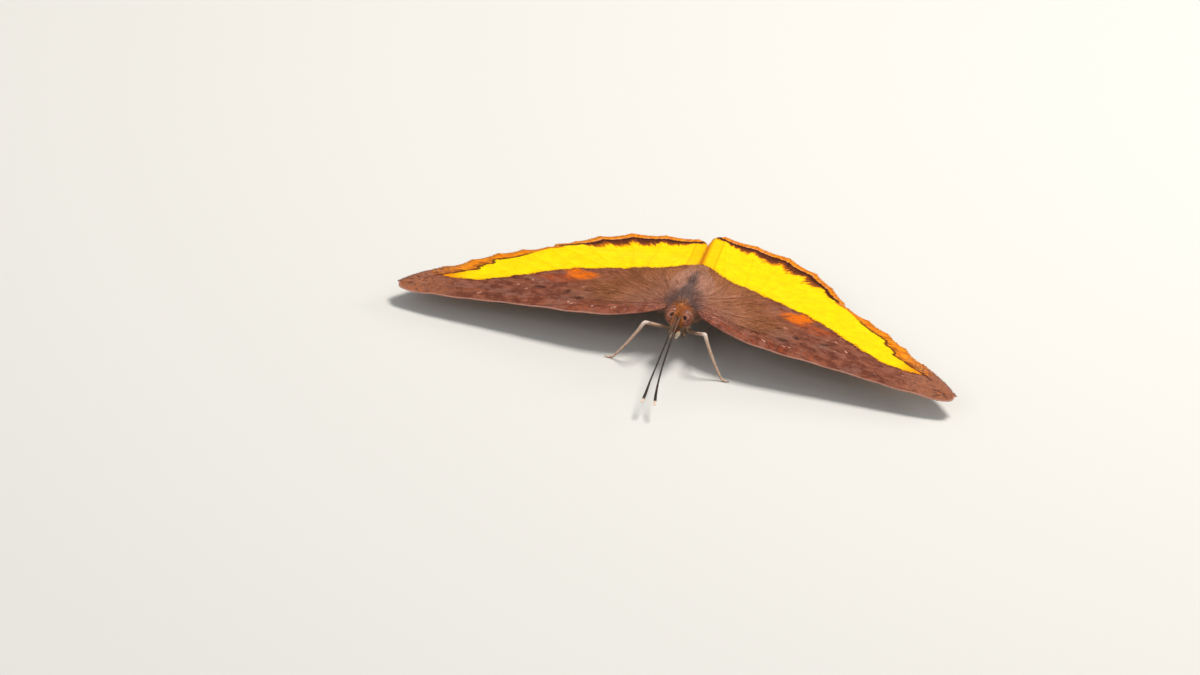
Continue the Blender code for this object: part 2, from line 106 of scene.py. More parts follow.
HINDWING_VEINS = {
    "subcosta": ((1.5, 4.70), (6.2, 4.70), (10.4, 6.60), "Sc"),
    "Rs": ((4.4, 5.75), (8.6, 7.90), "Rs"),
    "radius": ((1.5, 4.95), (4.4, 5.75), (6.9, 8.30), (9.2, 10.80), "M1"),
    "M2": ((6.9, 8.30), (8.5, 12.00), "M2"),
    "M3": ((6.1, 10.10), (7.3, 14.20), "M3"),
    "cell_end": ((6.9, 8.30), (6.7, 9.30), (6.1, 10.10), (5.0, 10.10)),
    "cubitus": ((1.5, 5.35), (4.3, 8.00), (5.6, 11.50), (6.1, 15.60), "CuA1"),
    "CuA2": ((4.3, 8.00), (4.3, 12.40), (4.15, 16.60), "CuA2"),
    "anal": ((1.5, 5.70), (2.5, 9.60), (1.95, 14.60), "A"),
}

# Wing skins
MEMBRANE = 0.07
FOREWING_LEVEL = {"left": 0.0, "right": -0.07}  # inside its solid, above or below the middle
OVERLAP_DROP = 0.15  # from the forewing down to the hindwing under it
HINDWING_LIFT, REAR_LIFT = 0.17, {"left": 0.36, "right": 0.40}  # in its solid, and towards its rear
CORNER_LIFT = {"left": 0.10, "right": 0.20}  # towards its outer rear corner
CORNER_FROM, CORNER_OVER = (7.5, 11.5), (4.0, 2.0)
CLEAR_OF_FOREWING, RISE_OVER = 0.1, 2.6
VEIN_HEIGHT, VEIN_WIDTH = 0.055, 0.085
CELL_SAG, CELL_WIDTH = 0.05, 0.5
FLUTTER = 0.03
EDGE_CLEAR = 0.08  # how far inside the outline a mesh point has to lie
GRID_STEP = 0.2
EDGE_STEP = 0.16
VEIN_STEP = 0.22
FRINGE_DENSITY = 135  # scales in each mm of the margin
WING_HAIRS, INNER_HAIRS = {"forewing": 3200, "hindwing": 4600}, 4200

# Markings on the wings' upper sides, in the plane of the wing on the +X side
BAND_INNER_EDGE = (
    (-1.2, 13.4), (0.5, 12.9), (1.3, 12.5), (2.0, 11.7), (2.9, 11.1), (4.0, 10.7), (5.0, 10.5), (6.0, 9.8),
    (7.2, 9.1), (8.5, 8.75), (10.0, 8.3), (11.0, 7.6), (12.2, 6.9), (13.3, 6.15), (14.3, 5.3), (15.5, 4.3),
    (16.4, 3.7), (17.4, 3.15), (18.6, 2.95), (19.8, 2.75), (20.9, 3.2), (21.6, 3.6),
)
FOREWING_DARK_LINE = (
    (11.4, 13.3), (12.1, 12.75), (13.1, 12.1), (13.9, 11.3), (14.6, 10.45), (15.5, 9.6), (16.3, 8.75),
    (16.95, 8.35), (17.3, 7.95),
    (17.2, 7.35), (17.8, 6.6), (18.25, 6.0), (18.2, 5.45), (18.7, 5.0), (19.5, 4.35), (20.4, 3.8),
    (20.95, 3.45), (21.9, 2.6), (22.9, 1.2), (23.6, -0.6),
)
HINDWING_LINE_IN = (  # (x, how far inside the margin the dark line runs)
    (0.0, 0.56), (2.0, 0.62), (3.2, 0.70), (4.2, 0.82), (5.3, 0.68), (6.8, 0.84), (8.2, 0.72), (9.2, 0.60),
    (10.0, 0.46), (11.2, 0.52), (12.2, 0.36), (14.0, 0.30),
)
HINDWING_SMOKE = (  # (x, how far its smoky brown reaches inward)
    (0.0, 0.45), (2.0, 0.8), (3.5, 1.2), (4.5, 1.6), (6.3, 1.55), (7.9, 1.45), (8.7, 1.25), (9.5, 1.0),
    (10.3, 0.65), (11.0, 0.42), (12.5, 0.15),
)
WING_INPUTS = ("Band", "Line", "Margin", "Vein", "Reach", "Fan", "Smoke", "Costa")
SCALE_ROW, SCALE_WIDTH = 0.10, 0.06
FAN_SHIFT = {"left": 0.35, "right": 0.0}  # so that the two sides' streaks and scales differ
# Spots: (x, y, half length, half width and, if it isn't the usual one, softness)
CELL_CLOUD = (8.4, 2.4, 1.5, 0.75)
CELL_MARKS = (
    (8.35, 3.45, 0.42, 0.26), (8.85, 1.35, 0.48, 0.34), (9.95, 2.55, 0.26, 0.42), (7.6, 2.9, 0.30, 0.22),
    (6.15, 1.85, 0.46, 0.26), (6.75, 4.9, 0.34, 0.26), (12.4, 2.9, 0.5, 0.22),
)
ORANGE_PATCH = ((9.35, 6.75, 1.25, 1.0, 0.45), (10.15, 7.5, 0.75, 0.9, 0.45))
PATCH_TAIL = (11.3, 5.45, 1.9, 0.75, 0.5)
PALE_FLECKS, FLECK_SIZE = (
    (9.6, 0.42), (9.2, 0.30), (8.8, 3.95), (4.4, 3.6), (7.4, 0.05), (2.8, 1.5), (13.4, 2.2), (19.5, 1.5),
    (12.5, 4.0), (13.2, 4.25), (14.3, 2.9), (17.1, 0.25), (5.6, 0.3), (3.6, 2.5),
), (0.11, 0.08)

# The body's skin: (y, middle height, half width, half height)
BODY_RINGS = (
    (-1.00, 3.96, 0.12, 0.28), (-0.92, 4.00, 0.24, 0.60), (-0.70, 4.06, 0.33, 0.80),
    (-0.30, 4.10, 0.38, 0.92), (0.10, 4.11, 0.42, 0.95), (0.45, 4.07, 0.50, 0.85),
    (0.72, 4.00, 0.52, 0.64), (0.92, 3.96, 0.50, 0.60), (1.10, 3.92, 0.58, 0.74),
    (1.45, 3.84, 0.80, 1.00), (1.90, 3.78, 0.96, 1.18), (2.60, 3.70, 1.09, 1.34),
    (3.60, 3.63, 1.16, 1.44), (4.60, 3.52, 1.12, 1.38), (5.50, 3.42, 1.00, 1.22),
    (6.20, 3.33, 0.90, 1.04), (6.60, 3.26, 0.88, 0.98), (7.40, 3.08, 0.98, 1.06),
    (8.80, 2.78, 1.05, 1.08), (10.2, 2.42, 0.96, 0.98), (11.6, 2.02, 0.78, 0.80),
    (12.8, 1.62, 0.55, 0.55), (13.8, 1.30, 0.33, 0.33), (14.2, 1.16, 0.12, 0.14),
)
ABDOMEN_FROM, ABDOMEN_TO, ABDOMEN_SEGMENTS = 6.5, 14.2, 8
BODY_RING_STEP, BODY_SIDES = 0.11, 72
GROOVE_DEPTH, GROOVE_WIDTH = 0.05, 0.10  # shares of the abdomen's girth and of a segment
CHEST_TAPER = 0.24  # how much narrower the chest gets towards its top
COAT_SPREAD, COAT_CURL = 0.16, 0.15

EYE_MIDDLE = {"left": (0.51, -0.03, 4.11), "right": (0.55, -0.03, 4.19)}
EYE_RADII = (0.69, 0.76, 0.79)
EYE_SPOT = (0.02, -0.86, 0.50)  # which way the dark spot in each eye looks
EYE_SLIT = (0.55, -0.30, -0.78)  # the way that the spot is drawn out, outwards and down

ANTENNA_PATH = (  # (x from the middle line, x of that line, y, z, radius)
    (0.17, 0.00, -0.84, 4.60, 0.135), (0.15, -0.03, -1.20, 4.44, 0.115), (0.12, -0.10, -2.20, 4.02, 0.090),
    (0.18, -0.20, -3.80, 3.46, 0.070), (0.24, -0.31, -6.80, 2.80, 0.070), (0.34, -0.36, -9.20, 2.24, 0.080),
    (0.41, -0.34, -10.60, 1.87, 0.112), (0.49, -0.32, -11.50, 1.62, 0.125),
    (0.56, -0.31, -12.12, 1.48, 0.080),
)
PALP_PATH = (
    (0.22, -0.66, 3.14, 0.16), (0.27, -1.05, 3.22, 0.21), (0.29, -1.55, 3.30, 0.21),
    (0.27, -2.10, 3.36, 0.16), (0.24, -2.55, 3.36, 0.05),
)
PALP_SCALES = 1500
COIL_MIDDLE, COIL_RADIUS, COIL_TURNS = (0.0, -0.18, 2.44), 0.42, 2.6

LEG_STRETCH = {"left": 0.97, "right": 1.02}
FORELEG = (
    (0.48, 1.92, 2.30, 0.15), (0.56, 1.45, 2.08, 0.16), (0.60, 0.60, 2.20, 0.13),
    (0.56, 0.05, 2.44, 0.10), (0.50, -0.25, 2.66, 0.03),
)
MIDLEG = (
    (0.60, 3.55, 1.90, 0.24), (0.78, 3.15, 1.50, 0.21), (1.30, 1.85, 2.02, 0.165),
    (2.10, -0.20, 3.04, 0.155), (2.56, -1.38, 3.62, 0.170), (2.72, -1.66, 3.57, 0.165),
    (3.05, -1.76, 2.90, 0.135), (3.68, -1.88, 1.78, 0.125), (3.85, -1.90, 1.50, 0.105),
    (4.45, -2.00, 0.58, 0.100), (4.66, -2.04, 0.28, 0.098), (4.88, -2.07, 0.12, 0.095),
    (5.24, -2.12, 0.10, 0.085),
)
HINDLEG = (
    (0.56, 5.05, 1.80, 0.25), (0.82, 5.40, 1.40, 0.25), (1.60, 6.25, 1.54, 0.22),
    (2.70, 7.45, 1.76, 0.155), (2.98, 7.80, 1.70, 0.140), (3.60, 8.85, 1.32, 0.125),
    (4.35, 10.15, 0.82, 0.125), (4.60, 10.50, 0.64, 0.105), (5.05, 11.15, 0.30, 0.100),
    (5.30, 11.50, 0.12, 0.095), (5.56, 11.90, 0.10, 0.085),
)
KNEE_AT = {"midleg": 4, "hindleg": 3}  # the path's point at the knee
CLAW_PATH = ((-0.05, 0.0, 0.0), (0.08, 0.06, 0.03), (0.18, 0.10, 0.0), (0.22, 0.11, -0.06))  # on, out, up
CLAW_RADII, TONGUE_RADII = (0.035, 0.008), (0.085, 0.045)  # at the root and at the tip
JOINT_DEPTH = 0.16  # how much thinner a feeler or foot is at its joints
FEELER_JOINTS, FOOT_JOINTS = 3.2, 1.9  # in each mm
TUBE_SIDES = 16
OFF_FLOOR = 0.004
FAR = 9.0  # a distance at which a mark doesn't show

# The camera's angles and lens, and the photo's size, its scale at the head and the head's place in it
CAMERA_RISE, CAMERA_TURN, CAMERA_ROLL = (math.radians(d) for d in (26.0, 5.5, 9.4))
PHOTO_SIZE = (1200, 675)
PHOTO_MM_PER_PIXEL = 0.0847
HEAD_IN_PHOTO = (679.0, 317.0)
LENS, SENSOR = 200.0, 36.0
FLOOR_HALF = 4.0  # in metres, as the lights below are
LIGHTS = (  # (name, place, size, power, colour)
    ("key", (0.08, 0.10, 0.34), 0.13, 1.15, (1.0, 0.96, 0.90)),
    ("front_fill", (-0.20, -0.34, 0.20), 0.26, 0.42, (0.92, 0.96, 1.0)),
    ("rim", (0.26, 0.28, 0.16), 0.14, 0.30, (1.0, 0.97, 0.92)),
)
SKY_COLOUR, SKY_STRENGTH = (0.92, 0.96, 1.0, 1.0), 0.32


# Numbers and curves

def clamp(value):
    return np.clip(value, 0.0, 1.0)


def smooth(value):
    t = clamp(value)
    return t * t * (3 - 2 * t)


def unit(vectors):
    return vectors / np.maximum(np.linalg.norm(vectors, axis=-1, keepdims=True), 1e-9)


def between(value, start, rise, end, fall):
    """1 between start and end, with a soft rise after the start and a soft fall before the end."""
    return smooth((value - start) / rise) * smooth((end - value) / fall)


def run_length(points):
    """How far along a line each of its points lies."""
    return np.concatenate([[0.0], np.cumsum(np.linalg.norm(np.diff(points, axis=0), axis=1))])


def through(points, step):
    """Points about a step apart on a smooth curve through the given ones, both ends included."""
    knots = [np.array(p, float) for p in points]
    knots = [2 * knots[0] - knots[1], *knots, 2 * knots[-1] - knots[-2]]
    made = []
    for before, start, end, after in zip(knots, knots[1:], knots[2:], knots[3:]):
        count = max(1, round(np.linalg.norm(end - start) / step))
        for t in np.arange(count) / count:
            made.append(
                0.5 * (2 * start + (end - before) * t + (2 * before - 5 * start + 4 * end - after) * t**2
                       + (3 * start - before - 3 * end + after) * t**3)
            )
    return np.array(made + [knots[-2]])


def table(rows, at):
    """Each column of a table of rows, read between the rows at the places given for its first column."""
    columns = np.array(rows, float).T
    return [np.interp(at, columns[0], column) for column in columns[1:]]


def nearest(points, lines):
    """For each point: its distance to the nearest of several lines, and which side of it, +1 to its left."""
    starts = np.concatenate([line[:-1] for line in lines])
    along = np.concatenate([line[1:] - line[:-1] for line in lines])
    lengths = np.maximum((along**2).sum(1), 1e-12)
    least, side = [], []
    for part in np.array_split(points, max(1, len(points) // 2000)):
        away = part[:, None, :] - starts[None]
        share = clamp((away * along).sum(2) / lengths)
        off = np.linalg.norm(away - share[..., None] * along, axis=2)
        pick = off.argmin(1)
        rows = np.arange(len(part))
        cross = along[pick, 0] * away[rows, pick, 1] - along[pick, 1] * away[rows, pick, 0]
        least.append(off[rows, pick])
        side.append(np.where(cross > 0, 1.0, -1.0))
    return np.concatenate(least), np.concatenate(side)


def inside(points, polygon):
    """Whether each point lies in a polygon, by counting the edges to its right."""
    hit = np.zeros(len(points), bool)
    for (ax, ay), (bx, by) in zip(polygon, np.roll(polygon, -1, axis=0)):
        if ay == by:
            continue
        across = (ay > points[:, 1]) != (by > points[:, 1])
        hit ^= across & (points[:, 0] < ax + (points[:, 1] - ay) * (bx - ax) / (by - ay))
    return hit


# Meshes

def make_piece(name, places, faces, looks, attributes=(), face_looks=None, corner_uv=None, replaced=()):
    """A smooth mesh piece from places in millimetres and an array of triangles, riding on the body."""
    mesh = bpy.data.meshes.new(name)
    mesh.from_pydata((np.asarray(places) + TO_FRAME) * MM, [], faces)
    for label, values in dict(attributes).items():
        values = np.asarray(values, float)
        kind, key = ("FLOAT", "value") if values.ndim == 1 else ("FLOAT_VECTOR", "vector")
        mesh.attributes.new(label, kind, "POINT").data.foreach_set(key, values.ravel())
    if corner_uv is not None:
        mesh.uv_layers.new(name=BAKE_MAP).uv.foreach_set("vector", np.asarray(corner_uv, float).ravel())
    for look in looks:
        mesh.materials.append(look)
    if face_looks is not None:
        mesh.polygons.foreach_set("material_index", np.asarray(face_looks, np.int32))
    mesh.shade_smooth()
    mesh.update()
    piece = bpy.data.objects.new(name, mesh)
    bpy.context.scene.collection.objects.link(piece)
    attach(piece, "root")
    if replaced:
        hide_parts(*replaced)
    return piece


def halves(quads):
    """Each four-cornered face as two triangles."""
    quads = np.asarray(quads)
    return np.concatenate([quads[:, [0, 1, 2]], quads[:, [0, 2, 3]]])


def ring_faces(rings, sides):
    """Triangles over rings of vertices that follow one another, with both ends closed."""
    ring, side = np.meshgrid(np.arange(rings - 1), np.arange(sides), indexing="ij")
    here = ring * sides + side
    on = ring * sides + (side + 1) % sides
    quads = np.stack([here, on, on + sides, here + sides], -1).reshape(-1, 4)
    fan = np.arange(1, sides - 1)
    first = np.stack([np.zeros_like(fan), fan + 1, fan], -1)
    last = np.stack([np.zeros_like(fan), fan, fan + 1], -1) + (rings - 1) * sides
    return np.concatenate([halves(quads), first, last])


def tube(path, radii, sides=TUBE_SIDES):
    """Places and triangles of a round tube along a path, and how far along it each vertex is, in mm."""
    path, radii = np.asarray(path, float), np.asarray(radii, float)
    ahead = unit(np.gradient(path, axis=0))
    up = np.array([0.0, 0.0, 1.0]) if abs(ahead[0, 2]) < 0.9 else np.array([1.0, 0.0, 0.0])
    across, above = [], []
    for direction in ahead:
        across.append(unit(np.cross(direction, up)))
        up = np.cross(across[-1], direction)
        above.append(up)
    turn = 2 * np.pi * np.arange(sides)[:, None] / sides
    round_it = np.array(across)[:, None] * np.cos(turn) + np.array(above)[:, None] * np.sin(turn)
    places = path[:, None] + radii[:, None, None] * round_it
    return places.reshape(-1, 3), ring_faces(len(path), sides), np.repeat(run_length(path), sides)


def upness_on(places, path, radii):
    """How far up each vertex of a tube looks, from -1 to 1."""
    return (places - np.repeat(path, TUBE_SIDES, axis=0))[:, 2] / np.repeat(radii, TUBE_SIDES)


def tufts(roots, normals, lie, lengths, widths, rise, curl, rng, rings=3, free=False):
    """Tapered hairs as closed meshes: each leaves its root at an angle to the skin and bends to its lie.

    Free hairs end in their lie's own direction, the others along the skin. Gives places, triangles, each
    vertex's hair and how far along it is.
    """
    count = len(roots)
    normals, ends = unit(normals), unit(lie)
    lie = unit(ends - normals * (ends * normals).sum(1, keepdims=True))
    start = unit(lie * np.cos(rise)[:, None] + normals * np.sin(rise)[:, None])
    side = unit(np.cross(lie, normals))
    end = unit((ends if free else lie) + side * (curl * rng.normal(size=count))[:, None])
    shares = np.append(np.arange(rings) / rings, 1.0)
    taper = np.array([0.8, 1.0, 0.7, 0.4, 0.2][:rings])
    on = shares[None, :, None]
    bent = on * start[:, None] + on**2 / 2 * (end - start)[:, None]
    middle = roots[:, None] - normals[:, None] * ROOT_DEPTH + lengths[:, None, None] * bent
    half = widths[:, None] * taper[None] / 2
    corners = np.stack([
        middle[:, :rings] - side[:, None] * half[..., None],
        middle[:, :rings] + side[:, None] * half[..., None],
        middle[:, :rings] + normals[:, None] * half[..., None] * TUFT_THICKNESS * 2,
    ], 2)
    each = 3 * rings + 1
    places = np.concatenate([corners.reshape(count, -1, 3), middle[:, rings:]], 1).reshape(-1, 3)
    pattern = [(0, 1, 2)]
    for ring in range(rings - 1):
        for k in range(3):
            a, b = 3 * ring + k, 3 * ring + (k + 1) % 3
            pattern += [(a, a + 3, b + 3), (a, b + 3, b)]
    base = 3 * (rings - 1)
    pattern += [(base + k, 3 * rings, base + (k + 1) % 3) for k in range(3)]
    faces = (np.arange(count)[:, None, None] * each + np.array(pattern)[None]).reshape(-1, 3)
    along = np.concatenate([np.repeat(shares[:rings], 3), [1.0]])
    return places, faces, np.repeat(np.arange(count), each), np.tile(along, count)


def tuft_uv(faces, hair, along, uv):
    """Each tuft's small patch of the bake map, at its root's place."""
    across = np.arange(len(hair)) % 3 / 2 - 0.5
    spot = uv[hair] + TUFT_PATCH * np.stack([across, along - 0.5], -1)
    return np.clip(spot, 0.001, 0.999)[faces.ravel()]


def scatter(places, faces, wanted, rng):
    """Random spots on a surface: (places, normals, the face each lies on, its shares of the corners)."""
    corners = places[faces]
    cross = np.cross(corners[:, 1] - corners[:, 0], corners[:, 2] - corners[:, 0])
    weight = np.linalg.norm(cross, axis=1) * wanted
    face = rng.choice(len(faces), size=int(round(weight.sum() / 2)), p=weight / weight.sum())
    share = rng.dirichlet((1, 1, 1), len(face))
    return (corners[face] * share[..., None]).sum(1), unit(cross[face]), face, share


# Shader nodes

def screen(red, green, blue):
    """A colour as it looks on a screen, 0 to 255, in the shader's own scale."""
    parts = [c / 255 for c in (red, green, blue)]
    return (*[p / 12.92 if p < 0.04 else ((p + 0.055) / 1.055) ** 2.4 for p in parts], 1.0)


class Value:
    """A node's output, which adds, subtracts, multiplies and divides as a number does."""

    def __init__(self, paint, socket):
        self.paint, self.socket = paint, socket

    def __add__(self, other):
        return self.paint.math("ADD", self, other)

    def __mul__(self, other):
        return self.paint.math("MULTIPLY", self, other)

    def __sub__(self, other):
        return self.paint.math("SUBTRACT", self, other)

    def __rsub__(self, other):
        return self.paint.math("SUBTRACT", other, self)

    def __truediv__(self, other):
        return self.paint.math("DIVIDE", self, other)

    __radd__, __rmul__ = __add__, __mul__


class Painter:
    """Adds nodes to one shader tree. What it is handed is a number, a vector or another node's Value."""

    def __init__(self, tree):
        self.tree = tree

    def feed(self, socket, value):
        if isinstance(value, Value):
            self.tree.links.new(value.socket, socket)
        else:
            socket.default_value = value

    def node(self, kind, output, inputs=(), **settings):
        """One output of a new node. Inputs and output go by name or by number."""
        made = self.tree.nodes.new(f"ShaderNode{kind}")
        for key, value in settings.items():
            setattr(made, key, value)
        for key, value in dict(inputs).items():
            self.feed(made.inputs[key], value)
        return Value(self, made.outputs[output])

    def group(self, tree, **inputs):
        """All outputs of a group by name."""
        made = self.tree.nodes.new("ShaderNodeGroup")
        made.node_tree = tree
        for key, value in inputs.items():
            self.feed(made.inputs[key], value)
        return {socket.name: Value(self, socket) for socket in made.outputs}

    def math(self, operation, *values, limit=False):
        return self.node("Math", 0, enumerate(values), operation=operation, use_clamp=limit)

    def vectors(self, operation, first, second):
        return self.node("VectorMath", 0, {0: first, 1: second}, operation=operation)

    def joined(self, x, y):
        return self.node("CombineXYZ", 0, {"X": x, "Y": y})

    def part(self, vector, axis):
        return self.node("SeparateXYZ", axis, {"Vector": vector})

    def most(self, first, *others):
        for other in others:
            first = self.math("MAXIMUM", first, other)
        return first

    def step(self, value, low, high):
        """0 below low and 1 above high, with a soft rise between. High may be the smaller one."""
        falling = low > high
        inputs = {"Value": value, "From Min": min(low, high), "From Max": max(low, high),
                  "To Min": float(falling), "To Max": float(not falling)}
        return self.node("MapRange", "Result", inputs, interpolation_type="SMOOTHSTEP")

    def stripe(self, value, middle, half_width, soft):
        """1 within half_width of the middle, falling to 0 over soft."""
        return self.step(self.math("ABSOLUTE", value - middle), half_width + soft, half_width)

    def spot(self, at, x, y, radius_x, radius_y, soft=0.35):
        """1 in an ellipse round a spot of the wing, falling to 0 at its edge."""
        away = self.vectors("SUBTRACT", at, (x, y, 0.0))
        flat = self.vectors("MULTIPLY", away, (1 / radius_x, 1 / radius_y, 0.0))
        return self.step(self.node("VectorMath", "Value", {0: flat}, operation="LENGTH"), 1 + soft, 1 - soft)

    def mix(self, share, first, second):
        """A colour between two others, which are Values or (red, green, blue) as on a screen."""
        first, second = (screen(*c) if isinstance(c, tuple) else c for c in (first, second))
        return self.node("Mix", 2, {0: share, 6: first, 7: second}, data_type="RGBA")

    def layers(self, colour, *rows):
        """A colour with others laid over it in turn. Each row is a share and the colour that it adds."""
        for share, top in rows:
            colour = self.mix(share, colour, top)
        return colour

    def lit(self, colour, brightness):
        return self.node("HueSaturation", "Color", {"Color": colour, "Value": brightness})

    def value(self, name):
        return self.node("Attribute", "Fac", attribute_name=name)

    def vector(self, name):
        return self.node("Attribute", "Vector", attribute_name=name)

    def noise(self, at, scale, detail=2.0, rough=0.5):
        inputs = {"Vector": at, "Scale": scale, "Detail": detail, "Roughness": rough}
        return self.node("TexNoise", "Fac", inputs)

    def cells(self, at, scale):
        return self.node("TexVoronoi", "Distance", {"Vector": at, "Scale": scale})


def new_group(name, inputs, outputs):
    """(tree, painter, its inputs by name, a function that sets an output)."""
    tree = bpy.data.node_groups.new(name, "ShaderNodeTree")
    for way, sockets in (("INPUT", inputs), ("OUTPUT", outputs)):
        for label, kind in sockets.items():
            tree.interface.new_socket(label, in_out=way, socket_type=f"NodeSocket{kind}")
    paint = Painter(tree)
    entry, leave = tree.nodes.new("NodeGroupInput"), tree.nodes.new("NodeGroupOutput")

    def send(label, value):
        paint.feed(leave.inputs[label], value)

    return tree, paint, {label: Value(paint, entry.outputs[label]) for label in inputs}, send


def new_look(name, roughness, **plain):
    """A material: (material, painter, its Principled shader)."""
    look = bpy.data.materials.new(name)
    look.use_nodes = True
    shader = look.node_tree.nodes["Principled BSDF"]
    for key, value in {"Roughness": roughness, **plain}.items():
        shader.inputs[key.replace("_", " ")].default_value = value
    return look, Painter(look.node_tree), shader


def cover(paint, shader, colour, height=None, distance_mm=0.0, strength=1.0):
    """Gives a shader its colour, and a relief if there is a height."""
    paint.feed(shader.inputs["Base Color"], colour)
    if height:
        inputs = {"Height": height, "Strength": strength, "Distance": distance_mm * MM}
        paint.feed(shader.inputs["Normal"], paint.node("Bump", "Normal", inputs))


# Shared effects

def scale_rows_group():
    """Overlapping scales in rows across the way that the wing's veins run."""
    tree, paint, given, send = new_group(
        "scale_rows", {label: "Float" for label in ("Reach", "Fan", "Row", "Width")},
        {"Tone": "Float", "Height": "Float"},
    )
    rows = given["Reach"] / given["Row"]
    row = paint.math("FLOOR", rows)
    columns = given["Fan"] * row * given["Row"] / given["Width"] + paint.math("MODULO", row, 2.0) * 0.5
    scale = paint.joined(row, paint.math("FLOOR", columns))
    send("Tone", paint.node("TexWhiteNoise", "Value", {"Vector": scale}, noise_dimensions="2D"))
    across = paint.math("FRACT", columns) - 0.5
    send("Height", paint.math("FRACT", rows) * (1.0 - across * across * 3.0))
    return tree


def fine_scales_group():
    """Fine pits and mottling of bare or thinly scaled skin."""
    tree, paint, given, send = new_group(
        "fine_scales", {"Place": "Vector", "Scale": "Float"}, {"Tone": "Float", "Height": "Float"})
    cells = paint.cells(given["Place"], given["Scale"])
    send("Tone", cells * 0.5 + paint.noise(given["Place"], 9.0, 3.0, 0.6) * 0.5)
    send("Height", cells)
    return tree


def body_markings_group():
    """The body's colours: a slate stripe above, tan at its sides, buff below, orange brown on the head."""
    tree, paint, given, send = new_group(
        "body_markings", {"Place": "Vector", "Upness": "Float", "Tone": "Float"}, {"Color": "Color"})
    place, upness, step = given["Place"], given["Upness"], paint.step
    slate, tan, buff, rust, face = (paint.mix(given["Tone"], low, high) for low, high in (
        ((94, 71, 66), (158, 126, 118)), ((160, 102, 80), (240, 186, 162)), ((150, 116, 84), (214, 184, 150)),
        ((156, 86, 44), (240, 158, 98)), ((206, 118, 56), (255, 190, 122)),
    ))
    back, aside = paint.part(place, "Y"), paint.math("ABSOLUTE", paint.part(place, "X"))
    blotch = paint.noise(place, 1.6, 3.0) - 0.5
    out = aside + (back - 2.0) * 0.075 + blotch * 0.7
    send("Color", paint.layers(
        slate,
        (step(out, 0.48, 0.84), tan),
        (step(upness, 0.0, -0.5), buff),
        (step(back + blotch * 0.8, 1.35, 0.95), paint.mix(step(back, -0.2, -0.7), rust, face)),
        (step(back, 1.4, 1.0) * step(upness, -0.45, -0.75), buff),
    ))
    return tree


def wing_group(name, scale_rows):
    """A group for one side of a wing: (tree, painter, its inputs, a function that sets an output, scales)."""
    tree, paint, given, send = new_group(
        name, {"Place": "Vector", "Spread": "Vector", **{label: "Float" for label in WING_INPUTS}},
        {"Color": "Color", "Height": "Float"},
    )
    scales = paint.group(scale_rows, Reach=given["Reach"], Fan=given["Fan"], Row=SCALE_ROW, Width=SCALE_WIDTH)
    send("Height", scales["Height"])
    return tree, paint, given, send, scales["Tone"]


